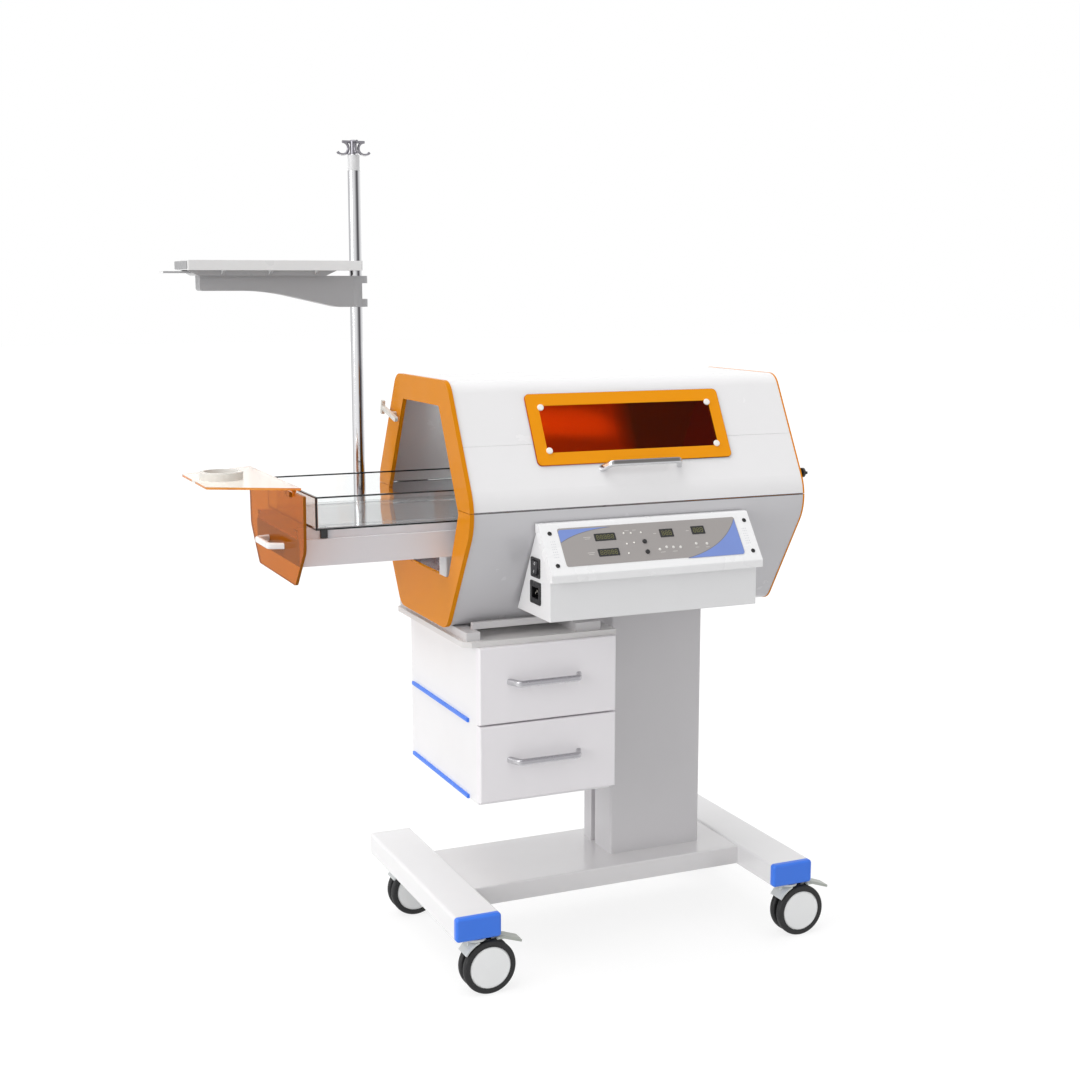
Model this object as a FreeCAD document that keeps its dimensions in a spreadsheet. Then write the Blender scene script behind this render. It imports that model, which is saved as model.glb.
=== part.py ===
import FreeCAD, Part
import Sketcher
import math
import os
import re

# An infant incubator on a wheeled stand: a drawer-type cabin with a slide-out bed,
# a control box, a drawer cabinet, and a pole with a shelf and drip hooks.
# Lengths are in millimetres and angles in degrees.
# +X runs along the cabin to the right, -Y faces the nurse, +Z is up.
# The origin is on the floor under the middle of the base.

doc = FreeCAD.newDocument("InfantIncubator")
sheet = doc.addObject("Spreadsheet::Sheet", "Sizes")
pieces = []
aliases = set()


def size(name, value):
    """Writes one driving dimension into the spreadsheet under its own name."""
    aliases.add(name)
    row = len(aliases)
    sheet.set(f"A{row}", name)
    sheet.set(f"B{row}", str(value))
    sheet.setAlias(f"B{row}", name)


def cells(text):
    """Points each size name in an expression at its cell of the spreadsheet."""
    return re.sub(r"[a-z_]{4,}", lambda word: "Sizes." + word[0] if word[0] in aliases else word[0], text)


# Fits and sheet thicknesses
seat_gap = 0.3
running_gap = 0.05
tube_wall = 2.5

# Base: two legs along Y and a cross beam between them
leg_spacing = 652.6
leg_width = 86.5
leg_length = 492
leg_height = 44.5
leg_bottom = 106.7
leg_round = 6
cap_thick = 12
cap_round = 11
cap_tongue = 18
tongue_lift = 12
beam_depth = 220
beam_height = 36
beam_drop = 4

# Casters
wheel_radius = 50
wheel_trail = 22
front_caster_inset = 20
rear_caster_inset = 73
disc_width = 14
disc_gap = 9
hub_radius = 39
hub_dish = 3
tyre_round = 5
axle_radius = 5
web_thick = 7
head_radius = 19
head_thick = 4
stem_radius = 6
stem_length = 9
fender_gap = 3.5
fender_thick = 3
pedal_length = 48
pedal_width = 26
pedal_thick = 5
pedal_drop = 12
pedal_pin = 1.5
pedal_pin_out = 19
pedal_pin_down = 5.8
ear_half = 2.9

# Column
column_left = 28.5
column_width = 197.5
column_front = -50
column_depth = 123
column_round = 5
groove_width = 17
groove_depth = 10
groove_middle = 27.5

# Cabin support
rail_height = 15
left_rail_middle = -308
left_rail_width = 26
right_rail_middle = -84
right_rail_width = 50
far_rail_middle = 255
support_depth = 360
far_rail_depth = 190
side_bar_middle = 151
side_bar_thick = 10
side_bar_height = 12
side_bar_left = -300
side_bar_right = 200

# Drawer cabinet
cabinet_left = -304.6
cabinet_width = 268
cabinet_front = -200
cabinet_depth = 375
cabinet_bottom = 333
cabinet_wall = 6
side_inset = 4
top_thick = 10
top_overhang = 25
top_lip = 9
top_corner = 14
front_thick = 18
front_gap = 3
front_lift = 8
front_round = 3
drawer_wall = 3
drawer_side_gap = 5
drawer_height = 96
drawer_length = 320
runner_size = 9
strip_height = 7
strip_proud = 5
strip_front = -137
strip_length = 300
drawer_travel = 250

# Bow handles
handle_reach = 28
handle_bar = 9
handle_height = 11
handle_bend = 12
drawer_handle_span = 146
drawer_handle_shift = -9
drawer_handle_lift = 5
hood_handle_span = 166
hood_handle_height = 934
hood_handle_shift = 5
door_handle_span = 114
door_handle_height = 806

# Cabin: an octagonal shell with its knees rounded, split at the seam
cabin_length = 670
cabin_middle = -3.5
cabin_top = 1089
cabin_bottom = 650
top_half = 133
knee_half = 256
knee_height = 862
bottom_half = 122
knee_round = 85
edge_round = 35
shell_wall = 4
seam_height = 871
seam_gap = 1
fold_height = 980
fold_width = 1.6
fold_depth = 1
plate_thick = 8
plate_proud = 2
far_plate_thick = 3
far_plate_proud = 0.5

# Opening in the left end
opening_top = 1045
opening_top_half = 96
opening_knee = 864
opening_knee_half = 190
opening_bottom = 743
opening_bottom_half = 138
opening_round = 6
sill_round = 16
opening_knee_round = 60

# Window in the hood's front slope
window_middle_height = 1003
window_width = 389
window_height = 137
window_thick = 3
window_round = 9
hole_width = 343
hole_height = 90
hole_corner = 11
screw_inset = 3.5
screw_radius = 6
screw_head = 3
screw_shank = 2.2

# Hood hinges at the back
hinge_back = 250.5
barrel_radius = 6.5
pin_radius = 2.5
hinge_width = 60
knuckle_width = 19
hinge_inset = 40
leaf_height = 26
leaf_thick = 13

# Hood catch on the right end and turn latch on the left end
catch_front = -224
catch_height = 908
catch_radius = 9
catch_grip = 9
catch_neck = 4
latch_back = 138
latch_height = 1014
latch_neck = 9
latch_neck_radius = 4
latch_bar = 78
latch_bar_height = 9
latch_bar_thick = 6
latch_tee = 26
latch_tilt = 13

# Slide-out bed: carriage, bed tray, door and flap
carriage_half = 146
carriage_bottom = 783
carriage_height = 46
carriage_left = -607
carriage_length = 590
carriage_wall = 4
carriage_flange = 46
step_inset = 8
step_height = 17
step_width = 20
bed_half = 158
bed_left = -583
bed_length = 545
bed_height = 57
bed_wall = 4
clip_width = 13
clip_height = 16
clip_thick = 5
tray_travel = 265
door_thick = 5
door_top = 909
door_top_half = 187
door_knee = 815
door_knee_half = 184
door_bottom = 748
door_bottom_half = 124
door_round = 9
flap_thick = 4
flap_length = 142
flap_hinge_half = 176
flap_tip_half = 101
flap_round = 8
flap_barrel = 3.8
flap_pin = 1.8
flap_axis_out = 4
flap_axis_up = 5
flap_knuckle = 28
flap_knuckle_middle = 118
port_radius = 30
collar_radius = 38
collar_height = 14
collar_out = 90
rail_flange = 16
rail_lip = 18
guide_width = 34
guide_depth = 24
guide_middle = 108

# Lamps under the bed
lamp_radius = 8
lamp_pitch = 32
lamp_height = 705
lamp_length = 540
reflector_gap = 8
reflector_wall = 2
reflector_top = 742
reflector_end_gap = 32

# Control box
box_middle = -9
box_length = 408
box_front = -300
box_bottom = 683
box_foot_back = -157
box_top_back = -239
box_top = 832
bezel_length = 416
bezel_top = 848
bezel_back = -244
bezel_brow = -256
bezel_nose = -316
nose_drop = 81
nose_bottom = 754
bezel_round = 5
bezel_thick = 12
overlay_width = 352
overlay_height = 74
overlay_thick = 0.8
overlay_round = 4
overlay_lift = 2.4
button_radius = 4
button_length = 8
button_proud = 2
button_well = 9.3
button_travel = 1.2
button_left = -25
upper_button = 47.5
lower_button = 68
module_back = -238
module_round = 3
flange_thick = 2
module_depth = 14
rocker_middle = 769.5
rocker_frame_width = 38
rocker_frame_height = 35
rocker_width = 22
rocker_height = 25
rocker_bulge = 5
rocker_tilt = 7
rocker_pin = 1.2
inlet_middle = 725
inlet_width = 44
inlet_height = 40
socket_width = 27
socket_height = 20
socket_depth = 11
mount_rib = 30

# Pole, shelf and hooks
pole_across = -375
pole_back = 260
pole_radius = 12
pole_bore = 10
pole_bottom = 712
pole_top = 1470
bracket_bottom = 735
bracket_height = 34
bracket_arm = 24
bracket_foot = 44
bracket_reach = 120
bracket_ring = 21
collar_top = 1499
collar_width = 21
head_plug = 30
hook_wire = 2.6
hook_reach = 22
hook_curl = 12
hook_turn = 235
hook_rise = 25
finial_radius = 6.5
arm_bottom = 1213
arm_top = 1272
arm_clamp = 22
arm_width = 38
arm_shoulder = 42
arm_slope_end = 180
arm_tip_bottom = 1244
arm_length = 306
arm_bend = 420
arm_window_low = 1228
arm_window_high = 1258
arm_window_back = 6
shelf_left = -711
shelf_right = -378
shelf_half_depth = 58
shelf_bottom = 1282
shelf_thick = 18
shelf_round = 4
pad_gap_left = 24
pad_gap_right = 44
pad_taper = 22
pad_half_depth = 34
rib_thick = 5
rib_pitch = 89
rib_left = -644
leaf_reach = 36
leaf_half_depth = 30
leaf_sheet = 3.5

# Every number named above goes into the spreadsheet under its own name
for word, value in list(globals().items()):
    if isinstance(value, (int, float)):
        size(word, value)
doc.recompute()


def get(name):
    """The plain number of one driving dimension."""
    return float(sheet.get(name))


class Piece:
    """One PartDesign body and the few features that these sub-parts are made with."""

    def __init__(self, label, keep=True):
        self.body = doc.addObject("PartDesign::Body", label)
        self.body.Label = label
        if keep:
            pieces.append(self.body)

    def sketch(self, plane, offset="0"):
        """A sketch on one of the body's own origin planes, moved along its normal."""
        made = self.body.newObject("Sketcher::SketchObject", self.body.Name + "_sketch")
        role = plane + "_Plane"
        made.AttachmentSupport = [(next(f for f in self.body.Origin.OriginFeatures if f.Role == role), "")]
        made.MapMode = "FlatFace"
        made.setExpression("AttachmentOffset.Base.z", cells(offset))
        return made

    def feature(self, kind, profile):
        made = self.body.newObject("PartDesign::" + kind, self.body.Name + "_" + kind.lower())
        made.Profile = profile
        return made

    def pad(self, profile, length, both=False, back=False):
        made = self.feature("Pad", profile)
        made.Midplane = both
        made.Reversed = back
        made.setExpression("Length", cells(length))
        return made

    def cut(self, profile, length, both=False, back=False):
        """A pocket that removes material on the side that the sketch's normal points to."""
        made = self.feature("Pocket", profile)
        made.Midplane = both
        made.Reversed = not back
        made.setExpression("Length", cells(length))
        doc.recompute()
        before = made.BaseFeature.Shape.Volume if made.BaseFeature else 0
        if before and before - made.Shape.Volume < 1e-3:
            raise ValueError(f"{made.Name} cuts nothing")
        return made

    def spin(self, profile, axis, angle="360"):
        made = self.feature("Revolution", profile)
        made.ReferenceAxis = axis
        made.setExpression("Angle", cells(angle))
        return made

    def thin(self, faces, wall):
        """Hollows the tip inwards to a wall, leaving the named faces open."""
        doc.recompute()
        base = self.body.Tip
        made = self.body.newObject("PartDesign::Thickness", self.body.Name + "_wall")
        made.Base = (base, [f"Face{n}" for n, face in enumerate(base.Shape.Faces, 1) if faces(face)])
        made.Reversed = True
        made.Join = "Intersection"
        made.setExpression("Value", cells(wall))
        return made

    def fillet(self, edges, radius, kind="Fillet"):
        """Rounds or bevels every edge of the tip that the test picks."""
        doc.recompute()
        base = self.body.Tip
        picked = [f"Edge{n}" for n, edge in enumerate(base.Shape.Edges, 1) if edges(edge)]
        if not picked:
            raise ValueError(f"no edge of {self.body.Name} to round")
        made = self.body.newObject("PartDesign::" + kind, self.body.Name + "_" + kind.lower())
        made.Base = (base, picked)
        made.setExpression("Radius" if kind == "Fillet" else "Size", cells(radius))
        return made

    def corners(self, profile, numbers, radius):
        """Rounds the edges that rise from the numbered corners of a sketch."""
        doc.recompute()
        normal = profile.Placement.Rotation.multVec(FreeCAD.Vector(0, 0, 1))
        spots = [profile.Placement.multVec(profile.Geometry[n].StartPoint) for n in numbers]

        def rises(edge):
            if len(edge.Vertexes) < 2:
                return False
            start, end = edge.Vertexes[0].Point, edge.Vertexes[-1].Point
            if (end - start).cross(normal).Length > 1e-4 or (end - start).Length < 1e-4:
                return False
            return any((start - spot).cross(normal).Length < 1e-3 for spot in spots)

        return self.fillet(rises, radius)

    def place(self, across="0", along="0", up="0", axis=None, angle="0"):
        """Stands the body at a point, turned about an axis through it."""
        if axis:
            self.body.Placement = FreeCAD.Placement(FreeCAD.Vector(), FreeCAD.Rotation(FreeCAD.Vector(*axis), 1))
            self.body.setExpression("Placement.Rotation.Angle", cells(angle))
        for name, text in (("x", across), ("y", along), ("z", up)):
            self.body.setExpression(f"Placement.Base.{name}", cells(text))


def polygon(sketch, points):
    """Draws a closed outline, with each corner held at its two distances from the origin."""
    first = sketch.GeometryCount
    count = len(points)
    ring = [FreeCAD.Vector(90 * math.cos(2 * math.pi * n / count), 90 * math.sin(2 * math.pi * n / count), 0)
            for n in range(count)]
    sketch.addGeometry([Part.LineSegment(ring[n], ring[(n + 1) % count]) for n in range(count)])
    sketch.addConstraint([Sketcher.Constraint("Coincident", first + n, 2, first + (n + 1) % count, 1)
                          for n in range(count)])
    for n, (across, up) in enumerate(points):
        hold(sketch, "DistanceX", first + n, 1, across)
        hold(sketch, "DistanceY", first + n, 1, up)
    return sketch


def hold(sketch, kind, line, point, text):
    """Binds one coordinate of a point to an expression of the sheet."""
    number = sketch.addConstraint(Sketcher.Constraint(kind, -1, 1, line, point, 1.0))
    sketch.renameConstraint(number, f"{kind}{line}")
    sketch.setExpression(f"Constraints.{kind}{line}", cells(text))


def circle(sketch, across, up, radius):
    """Draws a circle with its centre and radius held by expressions."""
    number = sketch.addGeometry(Part.Circle(FreeCAD.Vector(5, 5, 0), FreeCAD.Vector(0, 0, 1), 3))
    hold(sketch, "DistanceX", number, 3, across)
    hold(sketch, "DistanceY", number, 3, up)
    held = sketch.addConstraint(Sketcher.Constraint("Radius", number, 3.0))
    sketch.renameConstraint(held, f"Radius{number}")
    sketch.setExpression(f"Constraints.Radius{number}", cells(radius))
    return sketch


def box_points(left, right, low, high):
    """The four corners of an upright rectangle, counted anticlockwise."""
    return [(left, low), (right, low), (right, high), (left, high)]


def mirrored(half):
    """A symmetrical outline from its right half, given from the bottom up."""
    return half + [(f"-({across})", up) for across, up in reversed(half)]


def block(label, left, right, front, back, low, high, keep=True):
    """A plain box between six limits."""
    made = Piece(label, keep)
    base = made.sketch("XY", low)
    polygon(base, box_points(left, right, front, back))
    made.pad(base, f"({high}) - ({low})")
    return made, base


def upright(edge):
    """True for a straight edge along Z."""
    return is_line(edge, FreeCAD.Vector(0, 0, 1))


def is_line(edge, direction):
    if len(edge.Vertexes) < 2 or edge.Curve.TypeId != "Part::GeomLine":
        return False
    way = edge.Vertexes[1].Point - edge.Vertexes[0].Point
    return way.cross(direction).Length < 1e-5 * max(way.Length, 1)


def faces_along(direction):
    """A test that picks the flat faces whose normal lies along a direction."""
    def test(face):
        return face.Surface.TypeId == "Part::GeomPlane" and abs(face.normalAt(0, 0).dot(direction)) > 0.999
    return test


def group(label, members):
    """Several solids of one kind under one name."""
    made = doc.addObject("Part::Compound", label)
    made.Label = label
    made.Links = members
    pieces.append(made)
    return made


def trimmed(label, base, tool):
    """A piece cut back to the face of the form that it is seated on."""
    made = doc.addObject("Part::Cut", label)
    made.Label = label
    made.Base = base
    made.Tool = tool
    pieces.append(made)
    return made


LEG_TOP = "(leg_bottom + leg_height)"
BEAM_TOP = "(leg_bottom + leg_height - beam_drop)"
INNER_LEG = "((leg_spacing - leg_width) / 2)"
PEDAL_PIN = "(wheel_trail + pedal_pin_out)"
PEDAL_AXIS = "(leg_bottom - pedal_pin_down)"


def leg(label, side):
    """A rectangular tube along Y that carries one caster near each end."""
    made = Piece(label)
    section = made.sketch("XZ", "leg_length / 2 - cap_thick")
    polygon(section, box_points("-leg_width / 2", "leg_width / 2", "0", "leg_height"))
    made.pad(section, "leg_length - cap_thick", back=True)
    made.corners(section, [0, 1, 2, 3], "leg_round")
    made.thin(lambda face: face.BoundBox.YMax < 0 and faces_along(FreeCAD.Vector(0, 1, 0))(face), "tube_wall")
    stem = made.sketch("XY", "0")
    circle(stem, "0", "-(leg_length / 2 - front_caster_inset)", "stem_radius + running_gap")
    circle(stem, "0", "leg_length / 2 - rear_caster_inset", "stem_radius + running_gap")
    made.cut(stem, "tube_wall * 2")
    made.place(f"{side} * leg_spacing / 2", "0", "leg_bottom")
    return made


def end_caps():
    """Two plugs that close the legs at the front, each with a tongue that seats in the tube."""
    members = []
    for side in ("-1", "1"):
        made = Piece("leg_end_cap", keep=False)
        face = made.sketch("XZ", "0")
        polygon(face, box_points("-leg_width / 2", "leg_width / 2", "0", "leg_height"))
        made.pad(face, "cap_thick")
        made.corners(face, [0, 1, 2, 3], "leg_round")
        tongue = made.sketch("XZ", "0")
        reach = "(tube_wall + seat_gap)"
        polygon(tongue, box_points(f"-leg_width / 2 + {reach}", f"leg_width / 2 - {reach}",
                                   "tongue_lift", f"leg_height - {reach}"))
        made.pad(tongue, "cap_tongue", back=True)
        made.corners(tongue, [2, 3], "leg_round - tube_wall")
        made.fillet(lambda edge: upright(edge) and edge.BoundBox.YMax < -get("cap_thick") + 0.01,
                    "cap_round - leg_round")
        made.place(f"{side} * leg_spacing / 2", "cap_thick - leg_length / 2", "leg_bottom")
        members.append(made.body)
    group("leg_end_caps", members)


def crossbeam():
    """The wide flat box between the legs, open at its hidden ends."""
    made = Piece("base_crossbeam")
    section = made.sketch("YZ", "0")
    polygon(section, box_points("-beam_depth / 2", "beam_depth / 2", f"{BEAM_TOP} - beam_height", BEAM_TOP))
    made.pad(section, f"2 * {INNER_LEG}", both=True)
    made.corners(section, [2, 3], "leg_round / 2")
    made.thin(faces_along(FreeCAD.Vector(1, 0, 0)), "tube_wall")


def caster(name, side, along, braked):
    """A twin-disc caster: housing with stem and fender, two hubs, two tyres and sometimes a brake pedal."""
    across = f"{side} * leg_spacing / 2"
    housing = Piece("caster_housing_" + name)
    plate = housing.sketch("XY", "leg_bottom - seat_gap")
    circle(plate, "0", "0", "head_radius")
    housing.pad(plate, "head_thick", back=True)
    stem = housing.sketch("XY", "leg_bottom - seat_gap")
    circle(stem, "0", "0", "stem_radius")
    housing.pad(stem, "stem_length")
    web = housing.sketch("XZ", "0")
    polygon(web, [("-14", "leg_bottom - seat_gap - head_thick / 2"),
                  ("-17", "wheel_radius + 30"),
                  ("wheel_trail - 12", "wheel_radius - 6"),
                  ("wheel_trail + 12", "wheel_radius - 6"),
                  ("wheel_trail + 14", "wheel_radius + 30"),
                  ("14", "leg_bottom - seat_gap - head_thick / 2")])
    housing.pad(web, "web_thick", both=True)
    axle = housing.sketch("XZ", "0")
    circle(axle, "wheel_trail", "wheel_radius", "axle_radius")
    housing.pad(axle, "disc_gap + 2 * disc_width - 2 * hub_dish - 1", both=True)
    fender = housing.sketch("XZ", "0")
    outer = "(wheel_radius + fender_gap + fender_thick)"
    inner = "(wheel_radius + fender_gap)"
    turns = ("cos(112)", "sin(112)"), ("cos(124)", "sin(124)"), ("cos(136)", "sin(136)"), ("cos(148)", "sin(148)")
    arch = [(f"wheel_trail + {inner} * {c}", f"wheel_radius + {inner} * {s}") for c, s in turns]
    arch += [(f"wheel_trail + {outer} * {c}", f"wheel_radius + {outer} * {s}") for c, s in reversed(turns)]
    polygon(fender, arch)
    housing.pad(fender, "disc_gap + 2 * disc_width", both=True)
    if braked:
        ear = housing.sketch("XZ", "0")
        polygon(ear, box_points("wheel_trail + 8", f"{PEDAL_PIN} + ear_half", f"{PEDAL_AXIS} - ear_half",
                                f"{PEDAL_AXIS} + ear_half"))
        housing.pad(ear, "web_thick", both=True)
        pin = housing.sketch("XZ", "0")
        circle(pin, PEDAL_PIN, PEDAL_AXIS, "pedal_pin")
        housing.pad(pin, "pedal_width", both=True)
    housing.place(across, along)

    discs = {"hubs": [], "tyres": []}
    for way in ("-1", "1"):
        start = f"{way} * (disc_gap / 2 + disc_width / 2)"
        tyre = Piece("caster_tyre", keep=False)
        ring = tyre.sketch("XZ", "0")
        circle(ring, "0", "0", "wheel_radius")
        circle(ring, "0", "0", "hub_radius")
        tyre.pad(ring, "disc_width", both=True)
        tyre.fillet(lambda edge: edge.Curve.TypeId == "Part::GeomCircle"
                    and edge.Curve.Radius > get("wheel_radius") - 0.01, "tyre_round")
        tyre.place(f"{across} + wheel_trail", f"{along} + {start}", "wheel_radius")
        discs["tyres"].append(tyre.body)
        hub = Piece("caster_hub", keep=False)
        disc = hub.sketch("XZ", "0")
        circle(disc, "0", "0", "hub_radius")
        circle(disc, "0", "0", "axle_radius + running_gap")
        hub.pad(disc, "disc_width - hub_dish", both=True)
        cover = hub.sketch("XZ", f"{way} * -(disc_width - hub_dish) / 2")
        circle(cover, "0", "0", "hub_radius - 2")
        hub.pad(cover, "hub_dish / 2", back=(way == "1"))
        hub.place(f"{across} + wheel_trail", f"{along} + {start}", "wheel_radius")
        discs["hubs"].append(hub.body)
    for kind, members in discs.items():
        group(f"caster_{kind}_{name}", members)
    if braked:
        brake_pedal(name, across, along)


def brake_pedal(name, across, along):
    """A foot pedal forked round an ear of the housing, on the pin through that ear."""
    made = Piece("brake_pedal_" + name)
    side = made.sketch("XZ", "0")
    start, low = f"({PEDAL_PIN} - 4)", f"({PEDAL_AXIS} - pedal_thick / 2)"
    tip = f"({start} + pedal_length)"
    polygon(side, [(start, low), (f"{PEDAL_PIN} + 9", low), (tip, f"{low} - pedal_drop"),
                   (tip, f"{low} + pedal_thick - pedal_drop"), (f"{PEDAL_PIN} + 11", f"{low} + pedal_thick"),
                   (start, f"{low} + pedal_thick")])
    made.pad(side, "pedal_width", both=True)
    made.fillet(lambda edge: is_line(edge, FreeCAD.Vector(0, 1, 0)), "pedal_thick / 4")
    slot = made.sketch("XZ", "0")
    polygon(slot, box_points(f"{start} - 5", f"{PEDAL_PIN} + ear_half + 2.5", f"{low} - 5", f"{low} + 15"))
    made.cut(slot, "web_thick + 2 * seat_gap", both=True)
    bore = made.sketch("XZ", "0")
    circle(bore, PEDAL_PIN, PEDAL_AXIS, "pedal_pin + running_gap")
    made.cut(bore, "pedal_width * 2", both=True)
    made.place(across, along)


def column():
    """The upright box column, with a cable groove down its left and right sides."""
    made = Piece("column")
    right = "(column_left + column_width)"
    back = "(column_front + column_depth)"
    section = made.sketch("XY", BEAM_TOP)
    near, far = "(groove_middle - groove_width / 2)", "(groove_middle + groove_width / 2)"
    polygon(section, [("column_left", "column_front"), (right, "column_front"),
                      (right, near), (f"{right} - groove_depth", near),
                      (f"{right} - groove_depth", far), (right, far),
                      (right, back), ("column_left", back),
                      ("column_left", far), ("column_left + groove_depth", far),
                      ("column_left + groove_depth", near), ("column_left", near)])
    made.pad(section, f"cabin_bottom - rail_height - {BEAM_TOP}")
    made.corners(section, [0, 1, 6, 7], "column_round")
    made.thin(faces_along(FreeCAD.Vector(0, 0, 1)), "tube_wall")


def support_frame():
    """Cross rails under the cabin, two side bars beside its keel and the head plate on the column."""
    made = Piece("cabin_support_frame")
    low = "cabin_bottom - rail_height"
    rails = (("left_rail_middle", "left_rail_width", "support_depth"),
             ("right_rail_middle", "right_rail_width", "support_depth"),
             ("far_rail_middle", "left_rail_width", "far_rail_depth"))
    for middle, width, depth in rails:
        bar = made.sketch("XY", low)
        polygon(bar, box_points(f"{middle} - {width} / 2", f"{middle} + {width} / 2",
                                f"-{depth} / 2", f"{depth} / 2"))
        made.pad(bar, "rail_height")
    head = made.sketch("XY", low)
    polygon(head, box_points("right_rail_middle", "far_rail_middle", "column_front - 12",
                             "column_front + column_depth + 12"))
    made.pad(head, "rail_height")
    for way in ("-", ""):
        bar = made.sketch("XY", "cabin_bottom")
        near, far = f"{way}(side_bar_middle - side_bar_thick / 2)", f"{way}(side_bar_middle + side_bar_thick / 2)"
        front, back = (far, near) if way else (near, far)
        polygon(bar, box_points("side_bar_left", "side_bar_right", front, back))
        made.pad(bar, "side_bar_height")


CABINET_TOP = "(cabin_bottom - rail_height - top_thick)"
CABINET_RIGHT = "(cabinet_left + cabinet_width)"
CABINET_BACK = "(cabinet_front + cabinet_depth)"
BAY_HEIGHT = f"(({CABINET_TOP} - cabinet_bottom - 3 * cabinet_wall) / 2)"
FRONT_HEIGHT = f"(({CABINET_TOP} - cabinet_bottom - front_lift - front_gap - seat_gap) / 2)"


def bay_floor(number):
    """Height of the floor of a drawer bay: 0 is the lower one and 1 the upper."""
    return f"(cabinet_bottom + cabinet_wall + {number} * ({BAY_HEIGHT} + cabinet_wall))"


def cabinet_carcass():
    """The cabinet body, with two bays open to the front and a runner down each side of each bay."""
    made = Piece("cabinet_carcass")
    face = made.sketch("XY", "cabinet_bottom")
    polygon(face, box_points("cabinet_left + side_inset", f"{CABINET_RIGHT} - side_inset",
                             "cabinet_front + front_thick + seat_gap", CABINET_BACK))
    made.pad(face, f"{CABINET_TOP} - cabinet_bottom")
    inner_left = "cabinet_left + side_inset + cabinet_wall"
    inner_right = f"{CABINET_RIGHT} - side_inset - cabinet_wall"
    for number in (0, 1):
        bay = made.sketch("XZ", "-(cabinet_front + front_thick - 5)")
        polygon(bay, box_points(inner_left, inner_right, bay_floor(number),
                                f"{bay_floor(number)} + {BAY_HEIGHT}"))
        made.cut(bay, "cabinet_depth - front_thick - cabinet_wall + 5", back=True)
        for start, end in ((inner_left, f"{inner_left} + runner_size"),
                           (f"{inner_right} - runner_size", inner_right)):
            runner = made.sketch("XZ", "-(cabinet_front + front_thick + seat_gap)")
            polygon(runner, box_points(start, end, bay_floor(number), f"{bay_floor(number)} + runner_size"))
            made.pad(runner, "cabinet_depth - front_thick - cabinet_wall", back=True)


def cabinet_top():
    """The thin top plate, wider to the left, with its two left corners cut off."""
    made = Piece("cabinet_top")
    face = made.sketch("XY", CABINET_TOP)
    left, right = "cabinet_left - top_overhang", f"{CABINET_RIGHT} + 4"
    front, back = "cabinet_front + top_lip", f"{CABINET_BACK} + 6"
    polygon(face, [(f"{left} + top_corner", front), (right, front), (right, back),
                   (f"{left} + top_corner", back), (left, f"{back} - top_corner"),
                   (left, f"{front} + top_corner")])
    made.pad(face, "top_thick")


def side_strips():
    """Two bumper strips along the left side of the cabinet, one under each drawer."""
    members = []
    for low in (f"{bay_floor(0)} - cabinet_wall / 2", f"{bay_floor(1)} - cabinet_wall / 2"):
        made, base = block("side_strip", "cabinet_left + side_inset - strip_proud", "cabinet_left + side_inset",
                           "strip_front", "strip_front + strip_length",
                           f"{low} - strip_height / 2", f"{low} + strip_height / 2", keep=False)
        made.fillet(lambda edge: edge.BoundBox.XMax < get("cabinet_left") + get("side_inset") - 0.1, "strip_height / 4")
        members.append(made.body)
    group("cabinet_side_strips", members)


def drawer(name, number):
    """A drawer: an open box on the bay's runners behind a full-width front."""
    made = Piece("drawer_" + name)
    low = f"(cabinet_bottom + front_lift + {number} * ({FRONT_HEIGHT} + front_gap))"
    back = "-(cabinet_front + front_thick)"
    front = made.sketch("XZ", back)
    polygon(front, box_points("cabinet_left", CABINET_RIGHT, low, f"{low} + {FRONT_HEIGHT}"))
    made.pad(front, "front_thick")
    made.fillet(lambda edge: edge.BoundBox.YMax < get("cabinet_front") + 0.01, "front_round")
    floor = f"({bay_floor(number)} + runner_size + seat_gap)"
    left = "cabinet_left + side_inset + cabinet_wall + drawer_side_gap"
    right = f"{CABINET_RIGHT} - side_inset - cabinet_wall - drawer_side_gap"
    box = made.sketch("XZ", back)
    polygon(box, box_points(left, right, floor, f"{floor} + drawer_height"))
    made.pad(box, "drawer_length", back=True)
    inside = made.sketch("XY", f"{floor} + drawer_wall")
    polygon(inside, box_points(f"{left} + drawer_wall", f"{right} - drawer_wall", "cabinet_front + front_thick",
                               "cabinet_front + front_thick + drawer_length - drawer_wall"))
    made.cut(inside, "drawer_height")
    return f"({low} + {FRONT_HEIGHT} / 2 + drawer_handle_lift)"


def bow_handle(label, span):
    """A bow handle in its own frame: two feet on the XZ plane and a bar that stands off towards -Y."""
    made = Piece(label)
    bow = made.sketch("XY", "0")
    half, lean = f"({span} / 2)", "(handle_reach * 0.45)"
    polygon(bow, [(f"-{half}", "0"), (f"-{half} + {lean}", "-handle_reach"),
                  (f"{half} - {lean}", "-handle_reach"), (half, "0"), (f"{half} - handle_bar * 1.2", "0"),
                  (f"{half} - {lean} - handle_bar * 0.8", "-handle_reach + handle_bar"),
                  (f"-{half} + {lean} + handle_bar * 0.8", "-handle_reach + handle_bar"),
                  (f"-{half} + handle_bar * 1.2", "0")])
    made.pad(bow, "handle_height", both=True)
    made.corners(bow, [1, 2], "handle_bend")
    made.corners(bow, [5, 6], "handle_bend / 2")
    made.fillet(lambda edge: edge.BoundBox.YMax < -0.01 or edge.BoundBox.YLength > get("handle_reach") / 2,
                "handle_height / 3.2")
    return made


UPPER_LEAN = "((knee_half - top_half) / (cabin_top - knee_height))"
LOWER_LEAN = "((knee_half - bottom_half) / (knee_height - cabin_bottom))"
CABIN_LEFT = "(cabin_middle - cabin_length / 2)"
CABIN_RIGHT = "(cabin_middle + cabin_length / 2)"


def upper_half(height):
    """Half width of the cabin at a height on its upper slope."""
    return f"(top_half + (cabin_top - ({height})) * {UPPER_LEAN})"


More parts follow.
